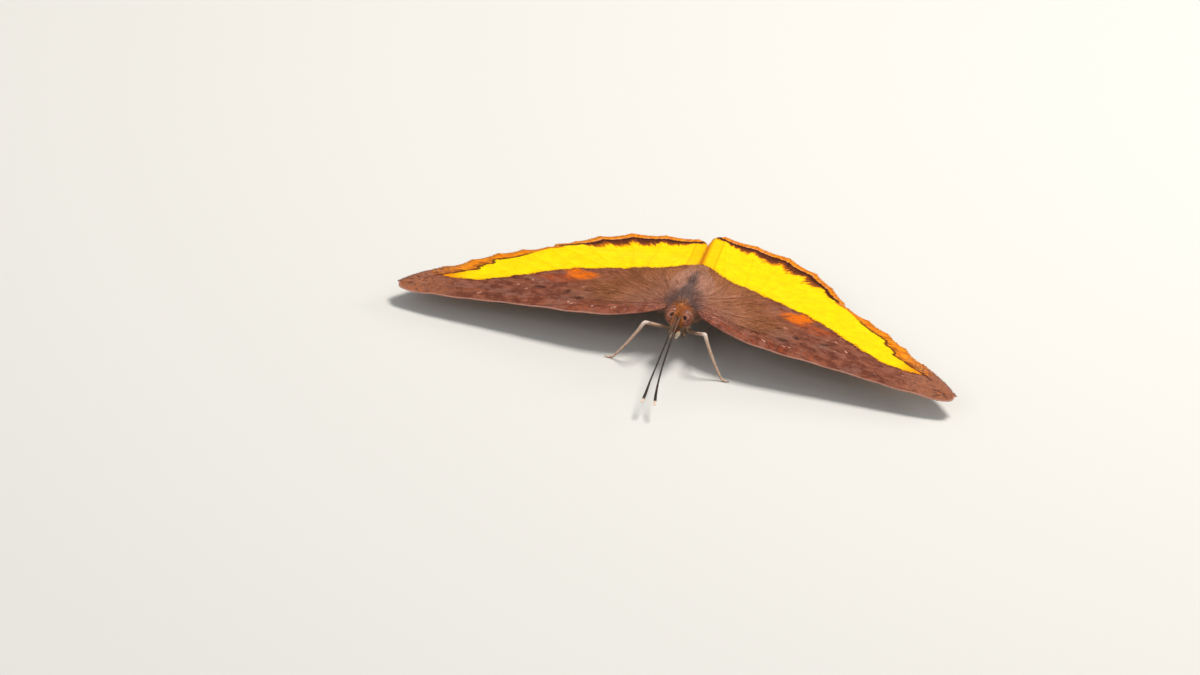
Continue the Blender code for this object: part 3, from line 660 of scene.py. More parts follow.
def wing_markings_group(kind, scale_rows):
    """The upper side's colours and scale relief, for a forewing or a hindwing."""
    fore = kind == "forewing"
    tree, paint, given, send, tone = wing_group(f"{kind}_markings", scale_rows)
    place, spread, reach = given["Place"], given["Spread"], given["Reach"]
    vein, costa = given["Vein"], given["Costa"]
    step, stripe, noise, layers = paint.step, paint.stripe, paint.noise, paint.layers

    def drawn_out(across, along, detail):
        return noise(paint.joined(given["Fan"] * across, reach * along), 1.0, detail, 0.6)

    streaks, fine = drawn_out(26.0, 0.55, 3.0), drawn_out(75.0, 0.9, 2.0)
    mottle, specks = noise(place, 1.1, 4.0, 0.65), noise(place, 5.5, 3.0, 0.7)
    tooth = (fine - 0.5) * 0.75 + (tone - 0.5) * 0.22

    # Ground colour: red brown, with lilac grey clouds, dark streaks and a silky tan towards the body
    near = step(reach, 10.5, 3.5) * step(costa, 1.6, 4.2) if fore else step(reach, 13.0, 5.0)
    silk = paint.mix(step(fine, 0.35, 0.68), (122, 72, 48), (196, 126, 80))
    umber = layers(
        paint.mix(step(mottle, 0.35, 0.65), (104, 56, 43), (148, 88, 66)),
        (step(noise(place, 0.55, 3.0, 0.6), 0.50, 0.68) * 0.6, (136, 96, 84)),
        (step(streaks, 0.5, 0.72) * 0.55, (78, 40, 32)),
        (step(specks, 0.56, 0.72) * 0.55, (166, 82, 46)),
        (near * step(streaks, 0.2, 0.6) * 0.9, silk),
        # Pale lilac flecks on single scales near the base: a painted sheen.
        (step(reach, 7.0, 1.5) * step(tone, 0.35, 0.90) * step(specks, 0.36, 0.60) * 0.42, (202, 148, 134)),
    )
    if fore:
        tip = step(reach, 16.5, 21.5)
        dots = (step(noise(place, 4.2, 4.0, 0.65), 0.50, 0.66) * stripe(costa, 0.80, 0.35, 0.55)
                * step(reach, 0.8, 3.0) * step(reach, 15.0, 8.5))
        jag = (noise(place, 4.5, 3.0) - 0.5) * 1.1
        moved = paint.vectors("ADD", spread, paint.joined(jag, jag * -0.8))

        def spots(rows):
            return paint.most(*[paint.spot(moved, *row) for row in rows])

        flames = streaks * 0.5 + fine * 0.7
        umber = layers(
            umber,
            (tip * 0.6, (164, 110, 86)),
            (tip * step(specks, 0.52, 0.62) * 0.7, (200, 110, 50)),
            (tip * step(noise(place, 2.4, 4.0, 0.65), 0.50, 0.64) * 0.7, (84, 46, 36)),
            (dots * 0.75, (174, 76, 38)),
            (spots([CELL_CLOUD]) * 0.45, (138, 98, 88)),
            (spots(CELL_MARKS) * 0.82, (54, 32, 28)),
            (spots([PATCH_TAIL]) * step(flames, 0.48, 0.70) * 0.8, (178, 78, 28)),
            (spots(ORANGE_PATCH) * step(flames, 0.40, 0.60), (226, 108, 4)),
            (spots([(x, y, *FLECK_SIZE) for x, y in PALE_FLECKS]) * 0.85, (240, 184, 160)),
        )
    vein_line = step(vein, 0.10, 0.03)
    umber = paint.mix(vein_line * 0.32, umber, (78, 42, 32))

    # The golden band, with a saw edge of brown and a thin orange rim
    band = given["Band"] + tooth
    rim = step(band, 0.30, 0.02)
    gold = layers(
        paint.mix(step(mottle, 0.3, 0.7), (252, 206, 0), (255, 222, 0)),
        (vein_line * 0.14, (232, 156, 0)),
        (rim * 0.75, (236, 136, 2)),
        (step(fine, 0.60, 0.78) * rim * 0.9, (124, 56, 18)),
    )
    if fore:
        gold = paint.mix(step(reach, 17.0, 19.6), gold, (236, 138, 6))
    else:  # darker towards the inner edge, with a painted crease shade along the fold beside it
        middle = paint.math("ABSOLUTE", paint.part(spread, "X"))
        gold = layers(
            gold,
            (step(middle, 1.35, 1.1) * 0.22, (236, 150, 0)),
            # Painted shade: a darker orange line standing in for the crease of the inner fold.
            (stripe(middle, 1.22, 0.03, 0.10) * 0.4, (226, 138, 0)),
            (step(middle, 0.50, 0.05) * 0.85, (220, 120, 6)),
        )
    umber = paint.mix(stripe(band, -0.08, 0.05, 0.14) * 0.75, umber, (66, 32, 20))
    in_band = step(band, -0.03, 0.05)

    # Outside the band: the dark line in an orange margin
    line = given["Line"] + tooth * 0.45
    outside = step(line, -0.02, 0.04) * step(given["Band"], -0.6, 0.2)
    amber = layers(
        paint.mix(step(fine, 0.3, 0.7), (214, 104, 10), (246, 156, 26)),
        (step(given["Margin"] + tooth * 0.3, 0.16, 0.02) * 0.45, (150, 74, 26)),
    )
    if fore:
        shadow = stripe(line, 0.28, 0.16, 0.2) * step(reach, 16.0, 17.5) * 0.6
        amber = layers(
            amber,
            (step(reach + mottle * 2.0, 18.8, 21.0) * step(specks, 0.62, 0.46), umber),
            (shadow * step(streaks, 0.42, 0.6), (120, 56, 24)),
        )
        strength = step(paint.part(spread, "X"), 13.8, 15.0) * step(reach, 21.2, 19.8)
        over_all = (
            (stripe(line + (mottle - 0.5) * 0.35, 0.0, 0.08, 0.12) * strength * 0.92, (92, 38, 14)),
            # A thin pale line along the leading edge
            (step(costa, 0.17, 0.06) * step(reach, 2.0, 8.0) * 0.75, (204, 150, 130)),
        )
    else:
        # Inside the line a smoky brown runs in along the streaks, deepest between the veins
        smoke = given["Smoke"]
        depth = smoke * (0.66 + step(vein, 0.05, 0.7) * 0.34)
        behind = step(line, 0.06, -0.02) * step(smoke, 0.05, 0.4)
        flame = given["Line"] + depth * (fine * 2.1 + 0.15)
        core = given["Line"] + depth * (fine * 1.6 + 0.05)
        pale = stripe(line + (specks - 0.5) * 0.1, 0.20, 0.02, 0.07)
        over_all = (
            (step(flame, -0.02, 0.35) * behind * 0.9, (222, 118, 4)),
            (step(core, -0.03, 0.22) * behind * 0.9, (124, 58, 26)),
            (step(specks, 0.54, 0.66) * step(core, 0.1, 0.3) * behind * 0.5, (150, 96, 84)),
            (step(core, 0.12, 0.55) * behind * step(fine, 0.70, 0.48) * 0.8, (62, 26, 18)),
            (stripe(line + (mottle - 0.5) * 0.22, -0.03, 0.12, 0.10) * 0.95, (58, 24, 16)),
            (pale * step(mottle, 0.42, 0.58) * 0.6, (226, 164, 136)),
        )
    colour = layers(umber, (in_band, gold), (outside, amber), *over_all)

    # Single scales differ a little in brightness, in the gold least of all
    difference = 0.32 - in_band * 0.24
    send("Color", paint.lit(colour, (1.0 - difference * 0.5) + tone * difference))
    return tree


def wing_underside_group(kind, scale_rows):
    """The underside's marbled browns, greyish towards the base, with a paler band towards the margin."""
    tree, paint, given, send, tone = wing_group(f"{kind}_underside", scale_rows)
    place, step, stripe = given["Place"], paint.step, paint.stripe
    ripple = (paint.noise(place, 0.55, 2.0) - 0.5) * 1.6
    band = given["Band"] + ripple
    waves = [(stripe(band, shift, width, 0.16) * strength, (74, 44, 30))
             for shift, width, strength in ((-0.15, 0.10, 0.8), (-2.6, 0.09, 0.6), (-5.2, 0.12, 0.55))]
    colour = paint.layers(
        paint.mix(step(paint.noise(place, 1.0, 5.0, 0.7), 0.35, 0.65), (110, 76, 52), (168, 128, 92)),
        (step(paint.noise(place, 6.0, 3.0, 0.7), 0.5, 0.72) * 0.6, (86, 56, 40)),
        (step(given["Reach"], 9.0, 2.0) * 0.5, (150, 134, 128)),
        (step(band, 0.0, 0.5) * step(given["Line"], 0.4, -0.5) * 0.75, (204, 168, 116)),
        *waves,
        (stripe(given["Line"] + ripple * 0.12, 0.1, 0.07, 0.12) * 0.7, (78, 46, 30)),
        (step(given["Vein"], 0.12, 0.03) * 0.45, (188, 150, 110)),
    )
    send("Color", paint.lit(colour, 0.84 + tone * 0.32))
    return tree


# Finishes

def wing_finish(name, markings, roughness=0.72, own=None):
    """A wing's surface, or the hairs and fringe scales that take part of their colour from their roots."""
    look, paint, shader = new_look(name, roughness, Specular_IOR_Level=0.06)
    inputs = {label: paint.value(label.lower()) for label in WING_INPUTS}
    painted = paint.group(markings, Place=paint.vector("place"), Spread=paint.vector("spread"), **inputs)
    if own:
        low, high, share = own
        reach, tone = inputs["Reach"], paint.value("tone")
        colour = paint.layers(
            painted["Color"],
            (share, paint.mix(tone, low, high)),
            (paint.step(reach, 19.0, 21.0), paint.mix(tone, (96, 54, 42), (196, 138, 120))),  # the wing's tip
            # Paler pink beside the body: partly the hairs' own colour, partly painted light that lifts the
            # shade there.
            (paint.step(reach, 5.5, 1.5) * tone * 0.75, (222, 166, 142)),  # beside the body
        )
        cover(paint, shader, paint.lit(colour, 0.78 + paint.value("along") * 0.4))
    else:
        cover(paint, shader, painted["Color"], painted["Height"], 0.012, 0.5)
    return look


def body_finish(name, markings, fine_scales, coat):
    look, paint, shader = new_look(name, 0.75, Specular_IOR_Level=0.14)
    place, upness = paint.vector("place"), paint.value("upness")
    if coat:
        painted = paint.group(markings, Place=place, Upness=upness, Tone=paint.value("tone"))
        cover(paint, shader, paint.lit(painted["Color"], 0.78 + paint.value("along") * 0.5))
    else:
        scales = paint.group(fine_scales, Place=place, Scale=9.0)
        painted = paint.group(markings, Place=place, Upness=upness, Tone=scales["Tone"])
        cover(paint, shader, paint.lit(painted["Color"], 0.72), scales["Height"], 0.03, 0.7)
    return look


def palp_finish():
    """Rust brown above, cream at the front and below."""
    look, paint, shader = new_look("palp_scales", 0.7, Specular_IOR_Level=0.14)
    place, tone = paint.vector("place"), paint.value("tone")
    base = paint.part(place, "Y") + tone * 0.35 - paint.math("ABSOLUTE", paint.part(place, "X")) * 1.6
    cream = paint.mix(tone, (206, 178, 144), (250, 240, 222))
    rust = paint.mix(tone, (148, 74, 44), (220, 130, 84))
    cover(paint, shader, paint.mix(paint.step(base, -1.80, -1.30), cream, rust))
    return look


def eye_finish():
    """Facets over a brown eye: a dark spot, a salmon ring round it, and broken dark and pale arcs outside."""
    look, paint, shader = new_look("compound_eye", 0.45, Specular_IOR_Level=0.25, Coat_Weight=0.12,
                                   Coat_Roughness=0.08)
    place = paint.vector("place")
    ripple = (paint.noise(place, 2.4, 5.0, 0.6) - 0.5) * 0.6
    ring = paint.value("ring") + ripple
    arcs = paint.step(paint.noise(place, 1.6, 2.0), 0.36, 0.58)
    spot = paint.step(paint.value("slit") + ripple * 0.22, 0.18, 0.09)
    colour = paint.layers(
        paint.mix(paint.step(paint.noise(place, 4.0, 4.0), 0.3, 0.7), (104, 52, 36), (168, 96, 68)),
        (paint.stripe(ring, 0.30, 0.06, 0.12) * 0.60, (206, 138, 114)),
        *[(paint.stripe(ring, *where) * share * arcs, tint) for where, share, tint in (
            ((0.46, 0.02, 0.10), 0.80, (70, 34, 24)), ((0.60, 0.03, 0.10), 0.50, (200, 124, 88)),
            ((0.76, 0.04, 0.12), 0.75, (72, 38, 27)), ((1.04, 0.10, 0.16), 0.45, (196, 144, 104)),
        )],
        (spot * 0.96, (16, 8, 10)),
    )
    cover(paint, shader, colour, paint.cells(place, 26.0), 0.006, 0.3)
    return look


def antenna_finish():
    """Dark brown, paler near the head, with pale rings below and a cream tip."""
    look, paint, shader = new_look("feeler", 0.5, Specular_IOR_Level=0.2)
    place, along, to_tip = paint.vector("place"), paint.value("along"), paint.value("to_tip")
    ringed = paint.step(paint.math("FRACT", along * FEELER_JOINTS), 0.72, 0.86)
    colour = paint.layers(
        paint.mix(paint.noise(place, 6.0, 3.0), (28, 15, 11), (58, 34, 25)),
        (paint.step(along, 3.4, 0.8) * 0.75, (122, 84, 66)),
        (ringed * paint.step(paint.value("upness"), 0.2, -0.6) * 0.6, (196, 170, 148)),
        (ringed * 0.12, (150, 116, 98)),
        (paint.stripe(to_tip, 1.1, 0.4, 0.3) * 0.6, (34, 16, 13)),
        (paint.step(to_tip, 0.62, 0.34), (248, 216, 194)),
    )
    cover(paint, shader, colour, paint.cells(place, 22.0), 0.02, 0.5)
    return look


def leg_finish(name, fine_scales, dark, light, knee):
    """Buff scales with painted light, paler on the upper side; paler on the knee's top, partly its own pale
    colour and partly a painted highlight; with brown rings at the joints of the foot.
    """
    look, paint, shader = new_look(name, 0.55, Specular_IOR_Level=0.3, Sheen_Weight=0.1)
    place, upness = paint.vector("place"), paint.value("upness")
    scales = paint.group(fine_scales, Place=place, Scale=16.0)
    # Random scale tone plus painted light: the upper side of the leg is lighter.
    tone_and_lit_top = paint.math("ADD", scales["Tone"] * 0.6, paint.step(upness, -0.5, 0.6) * 0.5, limit=True)
    joints = paint.step(paint.math("FRACT", paint.value("along") * FOOT_JOINTS), 0.82, 0.95)
    colour = paint.layers(
        paint.mix(tone_and_lit_top, dark, light),
        # The knee's pale colour only on its upper side: its own pale scales with a painted highlight.
        (paint.step(paint.value("to_knee"), 0.9, 0.1) * paint.step(upness, -0.6, 0.4) * 0.7, knee),
        (joints * paint.value("foot") * 0.6, (110, 76, 56)),
        (paint.step(paint.noise(place, 2.2, 3.0), 0.5, 0.7) * 0.4, (120, 92, 76)),
    )
    cover(paint, shader, colour, scales["Height"], 0.02, 0.6)
    return look


def tongue_finish():
    look, paint, shader = new_look("tongue", 0.4)
    place = paint.vector("place")
    colour = paint.mix(paint.noise(place, 8.0, 4.0, 0.6), (70, 38, 24), (124, 76, 48))
    cover(paint, shader, colour, paint.noise(place, 32.0, 3.0, 0.6), 0.02, 0.5)
    return look


# Wings

def forewing_sheet(points):
    """Height of the middle of the forewing's sheet, for x from the body's middle on either side."""
    x, y = points[:, 0], points[:, 1]
    bend = clamp((COSTA_BEND_FROM - y) / COSTA_BEND_OVER)
    return (HEAD_HEIGHT - WING_DROOP * (x - WING_ROOT[0]) - WING_PITCH * (y - WING_ROOT[1])
            - COSTA_BEND * bend**2)


def scallops(ends, depths, step):
    """The margin through the vein ends, drawn in by each depth between them."""
    made = []
    for start, end, depth in zip(ends, ends[1:], depths):
        start, end = np.array(start), np.array(end)
        along = end - start
        length = np.linalg.norm(along)
        inward = np.array([-along[1], along[0]]) / length
        t = np.arange(max(2, round(length / step))) / max(2, round(length / step))
        made.append(start + along * t[:, None] + inward * (depth * np.sin(np.pi * t))[:, None])
    return np.concatenate(made)


class WingPlan:
    """The flat plan of one kind of wing on the +X side, and what its markings are measured from."""

    def __init__(self, kind, costa, margin, depths, inner, base, veins, root):
        ends = list(margin.values())
        self.kind, self.root = kind, np.array(root)
        self.costa = through([*costa, ends[0]], EDGE_STEP)
        self.margin = scallops(ends, depths, EDGE_STEP)
        back = through([ends[-1], *inner, base[0]], EDGE_STEP)
        base = through(base, EDGE_STEP)
        self.outline = np.concatenate([self.costa[:-1], self.margin, back[:-1], base])
        self.margin = np.concatenate([self.margin, [ends[-1]]])
        self.inner = back
        self.closed = np.concatenate([self.outline, self.outline[:1]])
        self.veins = [through([margin[p] if isinstance(p, str) else p for p in points], VEIN_STEP)
                      for points in veins.values()]
        self.points, self.faces = self.plan()

    def beyond(self, points):
        """How far points lie outside the wing, and less than nothing inside."""
        away, _ = nearest(points, [self.closed])
        return np.where(inside(points, self.outline), -away, away)

    def plan(self):
        """Points and triangles of the flat wing, with edges along the crest of every vein."""
        points = [Vector(p) for p in self.outline]
        edges = []
        beside = []
        for line in self.veins:
            deep = self.beyond(line) < -EDGE_CLEAR
            run = []
            for spot, keep in zip(line, deep):
                if keep:
                    run.append(len(points))
                    points.append(Vector(spot))
            edges += list(zip(run, run[1:]))
            across = unit(np.gradient(line, axis=0))[:, ::-1] * (1, -1) * VEIN_WIDTH
            beside += [line + across, line - across]
        beside = np.concatenate(beside)
        clear, _ = nearest(beside, self.veins)
        beside = beside[(clear > 0.7 * VEIN_WIDTH) & (self.beyond(beside) < -EDGE_CLEAR)]
        low, high = self.outline.min(0), self.outline.max(0)
        rows = np.arange(low[1], high[1], GRID_STEP * math.sqrt(0.75))
        columns = np.arange(low[0], high[0], GRID_STEP)
        grid = np.concatenate([
            np.stack([columns + GRID_STEP / 2 * (i % 2), np.full(len(columns), y)], -1)
            for i, y in enumerate(rows)
        ])
        clear, _ = nearest(grid, self.veins)
        grid = grid[(self.beyond(grid) < -0.1) & (clear > VEIN_WIDTH + 0.08)]
        points += [Vector(p) for p in np.concatenate([beside, grid])]
        made, _, faces, *_ = delaunay_2d_cdt(points, edges, [list(range(len(self.outline)))], 1, 1e-6)
        faces = np.array(faces)
        made = np.array([tuple(p) for p in made])
        corners = made[faces]
        turn = np.cross(corners[:, 1] - corners[:, 0], corners[:, 2] - corners[:, 0])
        faces[turn < 0] = faces[turn < 0][:, ::-1]
        return made, faces

    def marks(self, points, side):
        """What the shader needs to know at flat points: distances in mm from the named lines."""
        margin, _ = nearest(points, [self.margin])
        costa, _ = nearest(points, [self.costa])
        vein, _ = nearest(points, self.veins)
        band, which = nearest(points, [through(BAND_INNER_EDGE, 0.2)])
        smoke = np.zeros(len(points))
        if self.kind == "forewing":
            line, beyond = nearest(points, [through(FOREWING_DARK_LINE, 0.2)])
            line = line * beyond
            costa_mark = costa
        else:
            (depth,) = table(HINDWING_LINE_IN, points[:, 0])
            line = depth - margin
            (smoke,) = table(HINDWING_SMOKE, points[:, 0])
            costa_mark = np.full(len(points), FAR)
        away = points - self.root
        return {
            "band": band * which, "line": line, "margin": margin, "vein": vein, "smoke": smoke,
            "costa": costa_mark, "reach": np.linalg.norm(away, axis=1),
            "fan": np.arctan2(away[:, 1], away[:, 0]) + FAN_SHIFT[side],
            "spread": np.concatenate([points, np.zeros((len(points), 1))], 1),
        }


def wing_middle(plan, side, points, fore):
    """Height of the middle of a wing's membrane at flat points."""
    vein, _ = nearest(points, plan.veins)
    sag = CELL_SAG * (1 - np.exp(-((vein / CELL_WIDTH) ** 2)))
    flutter = FLUTTER * np.sin(points[:, 0] * 1.9 + points[:, 1] * 0.7) * smooth(points[:, 0] / 6)
    height = forewing_sheet(points) - sag + flutter
    if plan.kind == "forewing":
        return height + FOREWING_LEVEL[side]
    under = FOREWING_LEVEL[side] - OVERLAP_DROP
    out = smooth((fore.beyond(points) - CLEAR_OF_FOREWING) / RISE_OVER)
    rear = smooth((points[:, 1] - SAG_FROM) / SAG_OVER)
    free = FREE_LEVEL + (REAR_LEVEL[side] - FREE_LEVEL) * rear
    lift = HINDWING_LIFT + (REAR_LIFT[side] - HINDWING_LIFT) * rear
    lift += CORNER_LIFT[side] * smooth((points - CORNER_FROM) / CORNER_OVER).prod(1)
    return height + under + (free + lift - under) * out


def wing_relief(plan, points):
    """How far the veins stand out from the membrane at flat points."""
    vein, _ = nearest(points, plan.veins)
    reach = np.linalg.norm(points - plan.root, axis=1)
    thick = 1.5 - smooth(reach / 12)
    return VEIN_HEIGHT * thick * np.exp(-((vein / (VEIN_WIDTH * np.sqrt(thick))) ** 2))


def on_wing(plan, side, points, fore, off=0.0):
    """Flat points as places on the wing's upper surface."""
    height = wing_middle(plan, side, points, fore) + MEMBRANE / 2 + wing_relief(plan, points) + off
    return np.stack([points[:, 0] * SIDES[side], points[:, 1], height], -1)


def wing_uv(plan, points, half):
    """Flat points on the bake map: the upper side has its left half and the underside its right."""
    low, high = plan.outline.min(0), plan.outline.max(0)
    share = (points - low) / (high - low)
    return np.stack([0.012 + 0.476 * share[:, 0] + 0.5 * half, 0.012 + 0.976 * share[:, 1]], -1)


def make_wing(plan, side, fore, looks):
    """A wing's skin: two faces of the membrane, with an edge all round."""
    points, faces = plan.points, plan.faces
    count = len(points)
    middle = wing_middle(plan, side, points, fore)
    veins = wing_relief(plan, points)
    thin = np.full(count, MEMBRANE / 2)
    edge = plan.beyond(points) > -0.03
    thin[edge] *= 0.6
    x = points[:, 0] * SIDES[side]
    upper = np.stack([x, points[:, 1], middle + thin + veins], -1)
    lower = np.stack([x, points[:, 1], middle - thin - 0.7 * veins], -1)
    directed = np.concatenate([faces[:, [0, 1]], faces[:, [1, 2]], faces[:, [2, 0]]])
    known = set(map(tuple, directed))
    rim = np.array([(a, b) for a, b in known if (b, a) not in known])
    sides = halves(np.stack([rim[:, 1], rim[:, 0], rim[:, 0] + count, rim[:, 1] + count], -1))
    every = np.concatenate([faces, faces[:, ::-1] + count, sides])
    flat_uv = np.concatenate([wing_uv(plan, points, 0), wing_uv(plan, points, 1)])
    side_uv = flat_uv[sides % count] + np.where(sides >= count, 0.004, 0.0)[..., None]
    corner_uv = np.concatenate([flat_uv[every[: 2 * len(faces)]].reshape(-1, 2), side_uv.reshape(-1, 2)])
    if SIDES[side] < 0:
        every = every[:, ::-1]
        corner_uv = corner_uv.reshape(-1, 3, 2)[:, ::-1].reshape(-1, 2)
    places = np.concatenate([upper, lower])
    marks = plan.marks(points, side)
    attributes = {label: np.concatenate([v, v]) for label, v in marks.items()}
    attributes["place"] = places
    face_looks = np.repeat([0, 1, 0], [len(faces), len(faces), len(sides)])
    return make_piece(f"{plan.kind}_{side}_skin", places, every, looks, attributes,
                      face_looks, corner_uv, (f"{plan.kind}_{side}",))


def make_wing_tufts(name, plan, side, fore, points, heading, sink, lengths, widths, rise, curl, look, rng,
                    rings=3, off=0.03):
    """Hairs or fringe scales with their roots at flat points of a wing, and headings in its plane."""
    places, normals = on_wing(plan, side, points, fore, off), surface_normals(plan, side, points, fore)
    lie = np.concatenate([heading * (SIDES[side], 1), np.full((len(points), 1), sink)], 1)
    built, faces, hair, along = tufts(places, normals, lie, lengths, widths, rise, curl, rng, rings)
    marks = plan.marks(points, side)
    attributes = {label: v[hair] for label, v in marks.items()}
    attributes |= {"place": places[hair], "along": along, "tone": rng.random(len(points))[hair]}
    uv = tuft_uv(faces, hair, along, wing_uv(plan, points, 0))
    return make_piece(f"{plan.kind}_{side}_{name}", built, faces, [look], attributes,
                      corner_uv=uv)


def surface_normals(plan, side, points, fore):
    step = 0.05
    height = wing_middle(plan, side, points, fore)
    slope_x = (wing_middle(plan, side, points + (step, 0), fore) - height) / step
    slope_y = (wing_middle(plan, side, points + (0, step), fore) - height) / step
    return unit(np.stack([-slope_x * SIDES[side], -slope_y, np.ones(len(points))], -1))


def make_fringe(plan, side, fore, look, rng):
    """Fine scales that stand out from the outer margin in uneven rows, and from a hindwing's inner one."""
    line = plan.margin if plan.kind == "forewing" else np.concatenate([plan.margin[:-1], plan.inner])
    along = run_length(line)
    corner = along[len(plan.margin) - 1]
    spots = np.sort(rng.random(int(along[-1] * FRINGE_DENSITY)) * along[-1])
    count = len(spots)

    def line_at(shift):
        return np.stack([np.interp(spots + shift, along, line[:, i]) for i in (0, 1)], -1)

    ahead = line_at(0.3) - line_at(-0.3)
    out = unit(np.stack([ahead[:, 1], -ahead[:, 0]], -1) + 1e-9)
    rows = line_at(0.0) - out * (0.03 + 0.16 * rng.random(count))[:, None]
    on_margin = smooth((corner + 0.8 - spots) / 1.2)
    heading = out + rng.normal(scale=0.12, size=out.shape)
    lengths = (0.22 + 0.18 * rng.random(count)) * (0.45 + 0.55 * on_margin)
    widths, rise = 0.040 + 0.03 * rng.random(count), np.full(count, 0.08)
    return make_wing_tufts("fringe", plan, side, fore, rows, heading, -0.05, lengths, widths, rise, 0.10,
                           look, rng, rings=2, off=0.0)


def make_wing_hair(plan, side, fore, look, rng, count):
    """Long silky hairs that spread over the wing from its base, longest near the body."""
    low, high = plan.outline.min(0), plan.outline.max(0)
    points = low + rng.random((count * 12, 2)) * (high - low)
    reach = np.linalg.norm(points - plan.root, axis=1)
    if plan.kind == "forewing":
        costa, _ = nearest(points, [plan.costa])
        wanted = smooth((8.5 - reach) / 7.0) * smooth((costa - 0.8) / 2.5)
    else:
        wanted = smooth((11.5 - reach) / 7.5) * smooth((fore.beyond(points) + 0.3) / 0.8)
    band, which = nearest(points, [through(BAND_INNER_EDGE, 0.2)])
    wanted *= 1 - smooth((band * which + 1.3) / 0.8)
    keep = (rng.random(len(points)) < wanted) & (plan.beyond(points) < -0.05)
    points = points[keep][:count]
    away = points - plan.root
    away = unit(away + rng.normal(scale=0.04, size=away.shape) * np.linalg.norm(away, axis=1, keepdims=True))
    count = len(points)
    lengths = (0.8 + 0.9 * rng.random(count)) * (0.6 + 0.4 * rng.random(count))
    widths, rise = 0.018 + 0.014 * rng.random(count), 0.03 + 0.07 * rng.random(count)
    return make_wing_tufts("hair", plan, side, fore, points, away, 0.0, lengths, widths, rise, 0.08, look,
                           rng)


def make_inner_hair(plan, side, fore, look, rng):
    """Long hairs on the hindwing's inner edge, which lie back over the abdomen and meet behind it."""
    count = INNER_HAIRS
    at = 6.0 + 6.4 * rng.random(count) ** 0.8
    edge = plan.inner[np.argsort(plan.inner[:, 1])]
    x = np.interp(at, edge[:, 1], edge[:, 0]) + 0.05 + 0.75 * rng.random(count) ** 1.5
    points = np.stack([x, at], -1)
    aim = np.stack([-0.30 - 0.25 * rng.random(count) + 0.16 * x, np.ones(count)], -1)
    aim += rng.normal(scale=0.10, size=aim.shape)
    lengths = (0.7 + 0.8 * rng.random(count)) * (1.05 - 0.65 * smooth((at - 9.5) / 2.8))
    widths, rise = 0.018 + 0.016 * rng.random(count), 0.05 + 0.12 * rng.random(count)
    return make_wing_tufts("inner_hair", plan, side, fore, points, aim, -0.03, lengths, widths, rise, 0.10,
                           look, rng)


# Body

def body_rings():
    """The skin's rings, close together, with a groove between the abdomen's segments."""
    knots = through(BODY_RINGS, BODY_RING_STEP)
    y = np.arange(BODY_RINGS[0][0], BODY_RINGS[-1][0], BODY_RING_STEP)
    order = np.argsort(knots[:, 0])
    middle, wide, high = (np.interp(y, knots[order, 0], knots[order, i]) for i in (1, 2, 3))
    share = (y - ABDOMEN_FROM) / (ABDOMEN_TO - ABDOMEN_FROM) * ABDOMEN_SEGMENTS
    groove = np.exp(-(((share - np.round(share)) / GROOVE_WIDTH) ** 2))
    groove *= smooth((y - ABDOMEN_FROM - 0.5) / 0.4)
    keep = 1 - GROOVE_DEPTH * groove
    return y, middle, wide * keep, high * keep


def make_body(look):
    """One skin over head, thorax and abdomen. Gives its piece, places, triangles and bake map."""
    y, middle, wide, high = body_rings()
    turn = 2 * np.pi * np.arange(BODY_SIDES) / BODY_SIDES
    x = wide[:, None] * np.cos(turn)[None]
    up = np.broadcast_to(np.sin(turn)[None], x.shape)
    chest = smooth(y - 1.0) * smooth((7.2 - y) / 1.5)
    x = x * (1 - CHEST_TAPER * chest[:, None] * np.maximum(up, 0))
    places = np.stack([x, np.broadcast_to(y[:, None], x.shape), middle[:, None] + high[:, None] * up], -1)
    places = places.reshape(-1, 3)
    faces = ring_faces(len(y), BODY_SIDES)[:, ::-1]
    uv = np.stack([
        0.02 + 0.96 * np.broadcast_to((np.arange(BODY_SIDES) / BODY_SIDES)[None], x.shape),
        0.02 + 0.96 * np.broadcast_to(((y - y[0]) / (y[-1] - y[0]))[:, None], x.shape),
    ], -1).reshape(-1, 2)
    attributes = {"place": places, "upness": up.ravel()}
    piece = make_piece("body_skin", places, faces, [look], attributes,
                       replaced=("head", "thorax", "abdomen"))
    return piece, places, faces, uv, up.ravel()


def make_body_coat(name, skin, region, density, length, width, lie_of, rise, look, rng, free):
    """Hairs over the part of the skin where region, a function of places and upness, is above nothing."""
    _, places, faces, uv, up = skin
    centre = places[faces].mean(1)
    wanted = density * region(centre, up[faces].mean(1))
    roots, normals, face, share = scatter(places, faces, wanted, rng)
    upness = (up[faces[face]] * share).sum(1)
    spread = uv[faces[face]]
    spread[..., 0] += 0.96 * (spread[..., 0].max(1, keepdims=True) - spread[..., 0] > 0.5)
    root_uv = (spread * share[..., None]).sum(1)
    lie = lie_of(roots, upness) + rng.normal(scale=COAT_SPREAD, size=roots.shape)
    low, high = length
    count = len(roots)
    lengths = low + (high - low) * rng.random(count) ** 1.3
    widths = width * (0.7 + 0.6 * rng.random(count))
    angles = rise * (0.5 + rng.random(count))
    built, tris, hair, along = tufts(roots, normals, lie, lengths, widths, angles, COAT_CURL, rng, free=free)
    attributes = {"place": roots[hair], "upness": upness[hair], "along": along,
                  "tone": rng.random(count)[hair]}
    return make_piece(name, built, tris, [look], attributes,
                      corner_uv=tuft_uv(tris, hair, along, root_uv))


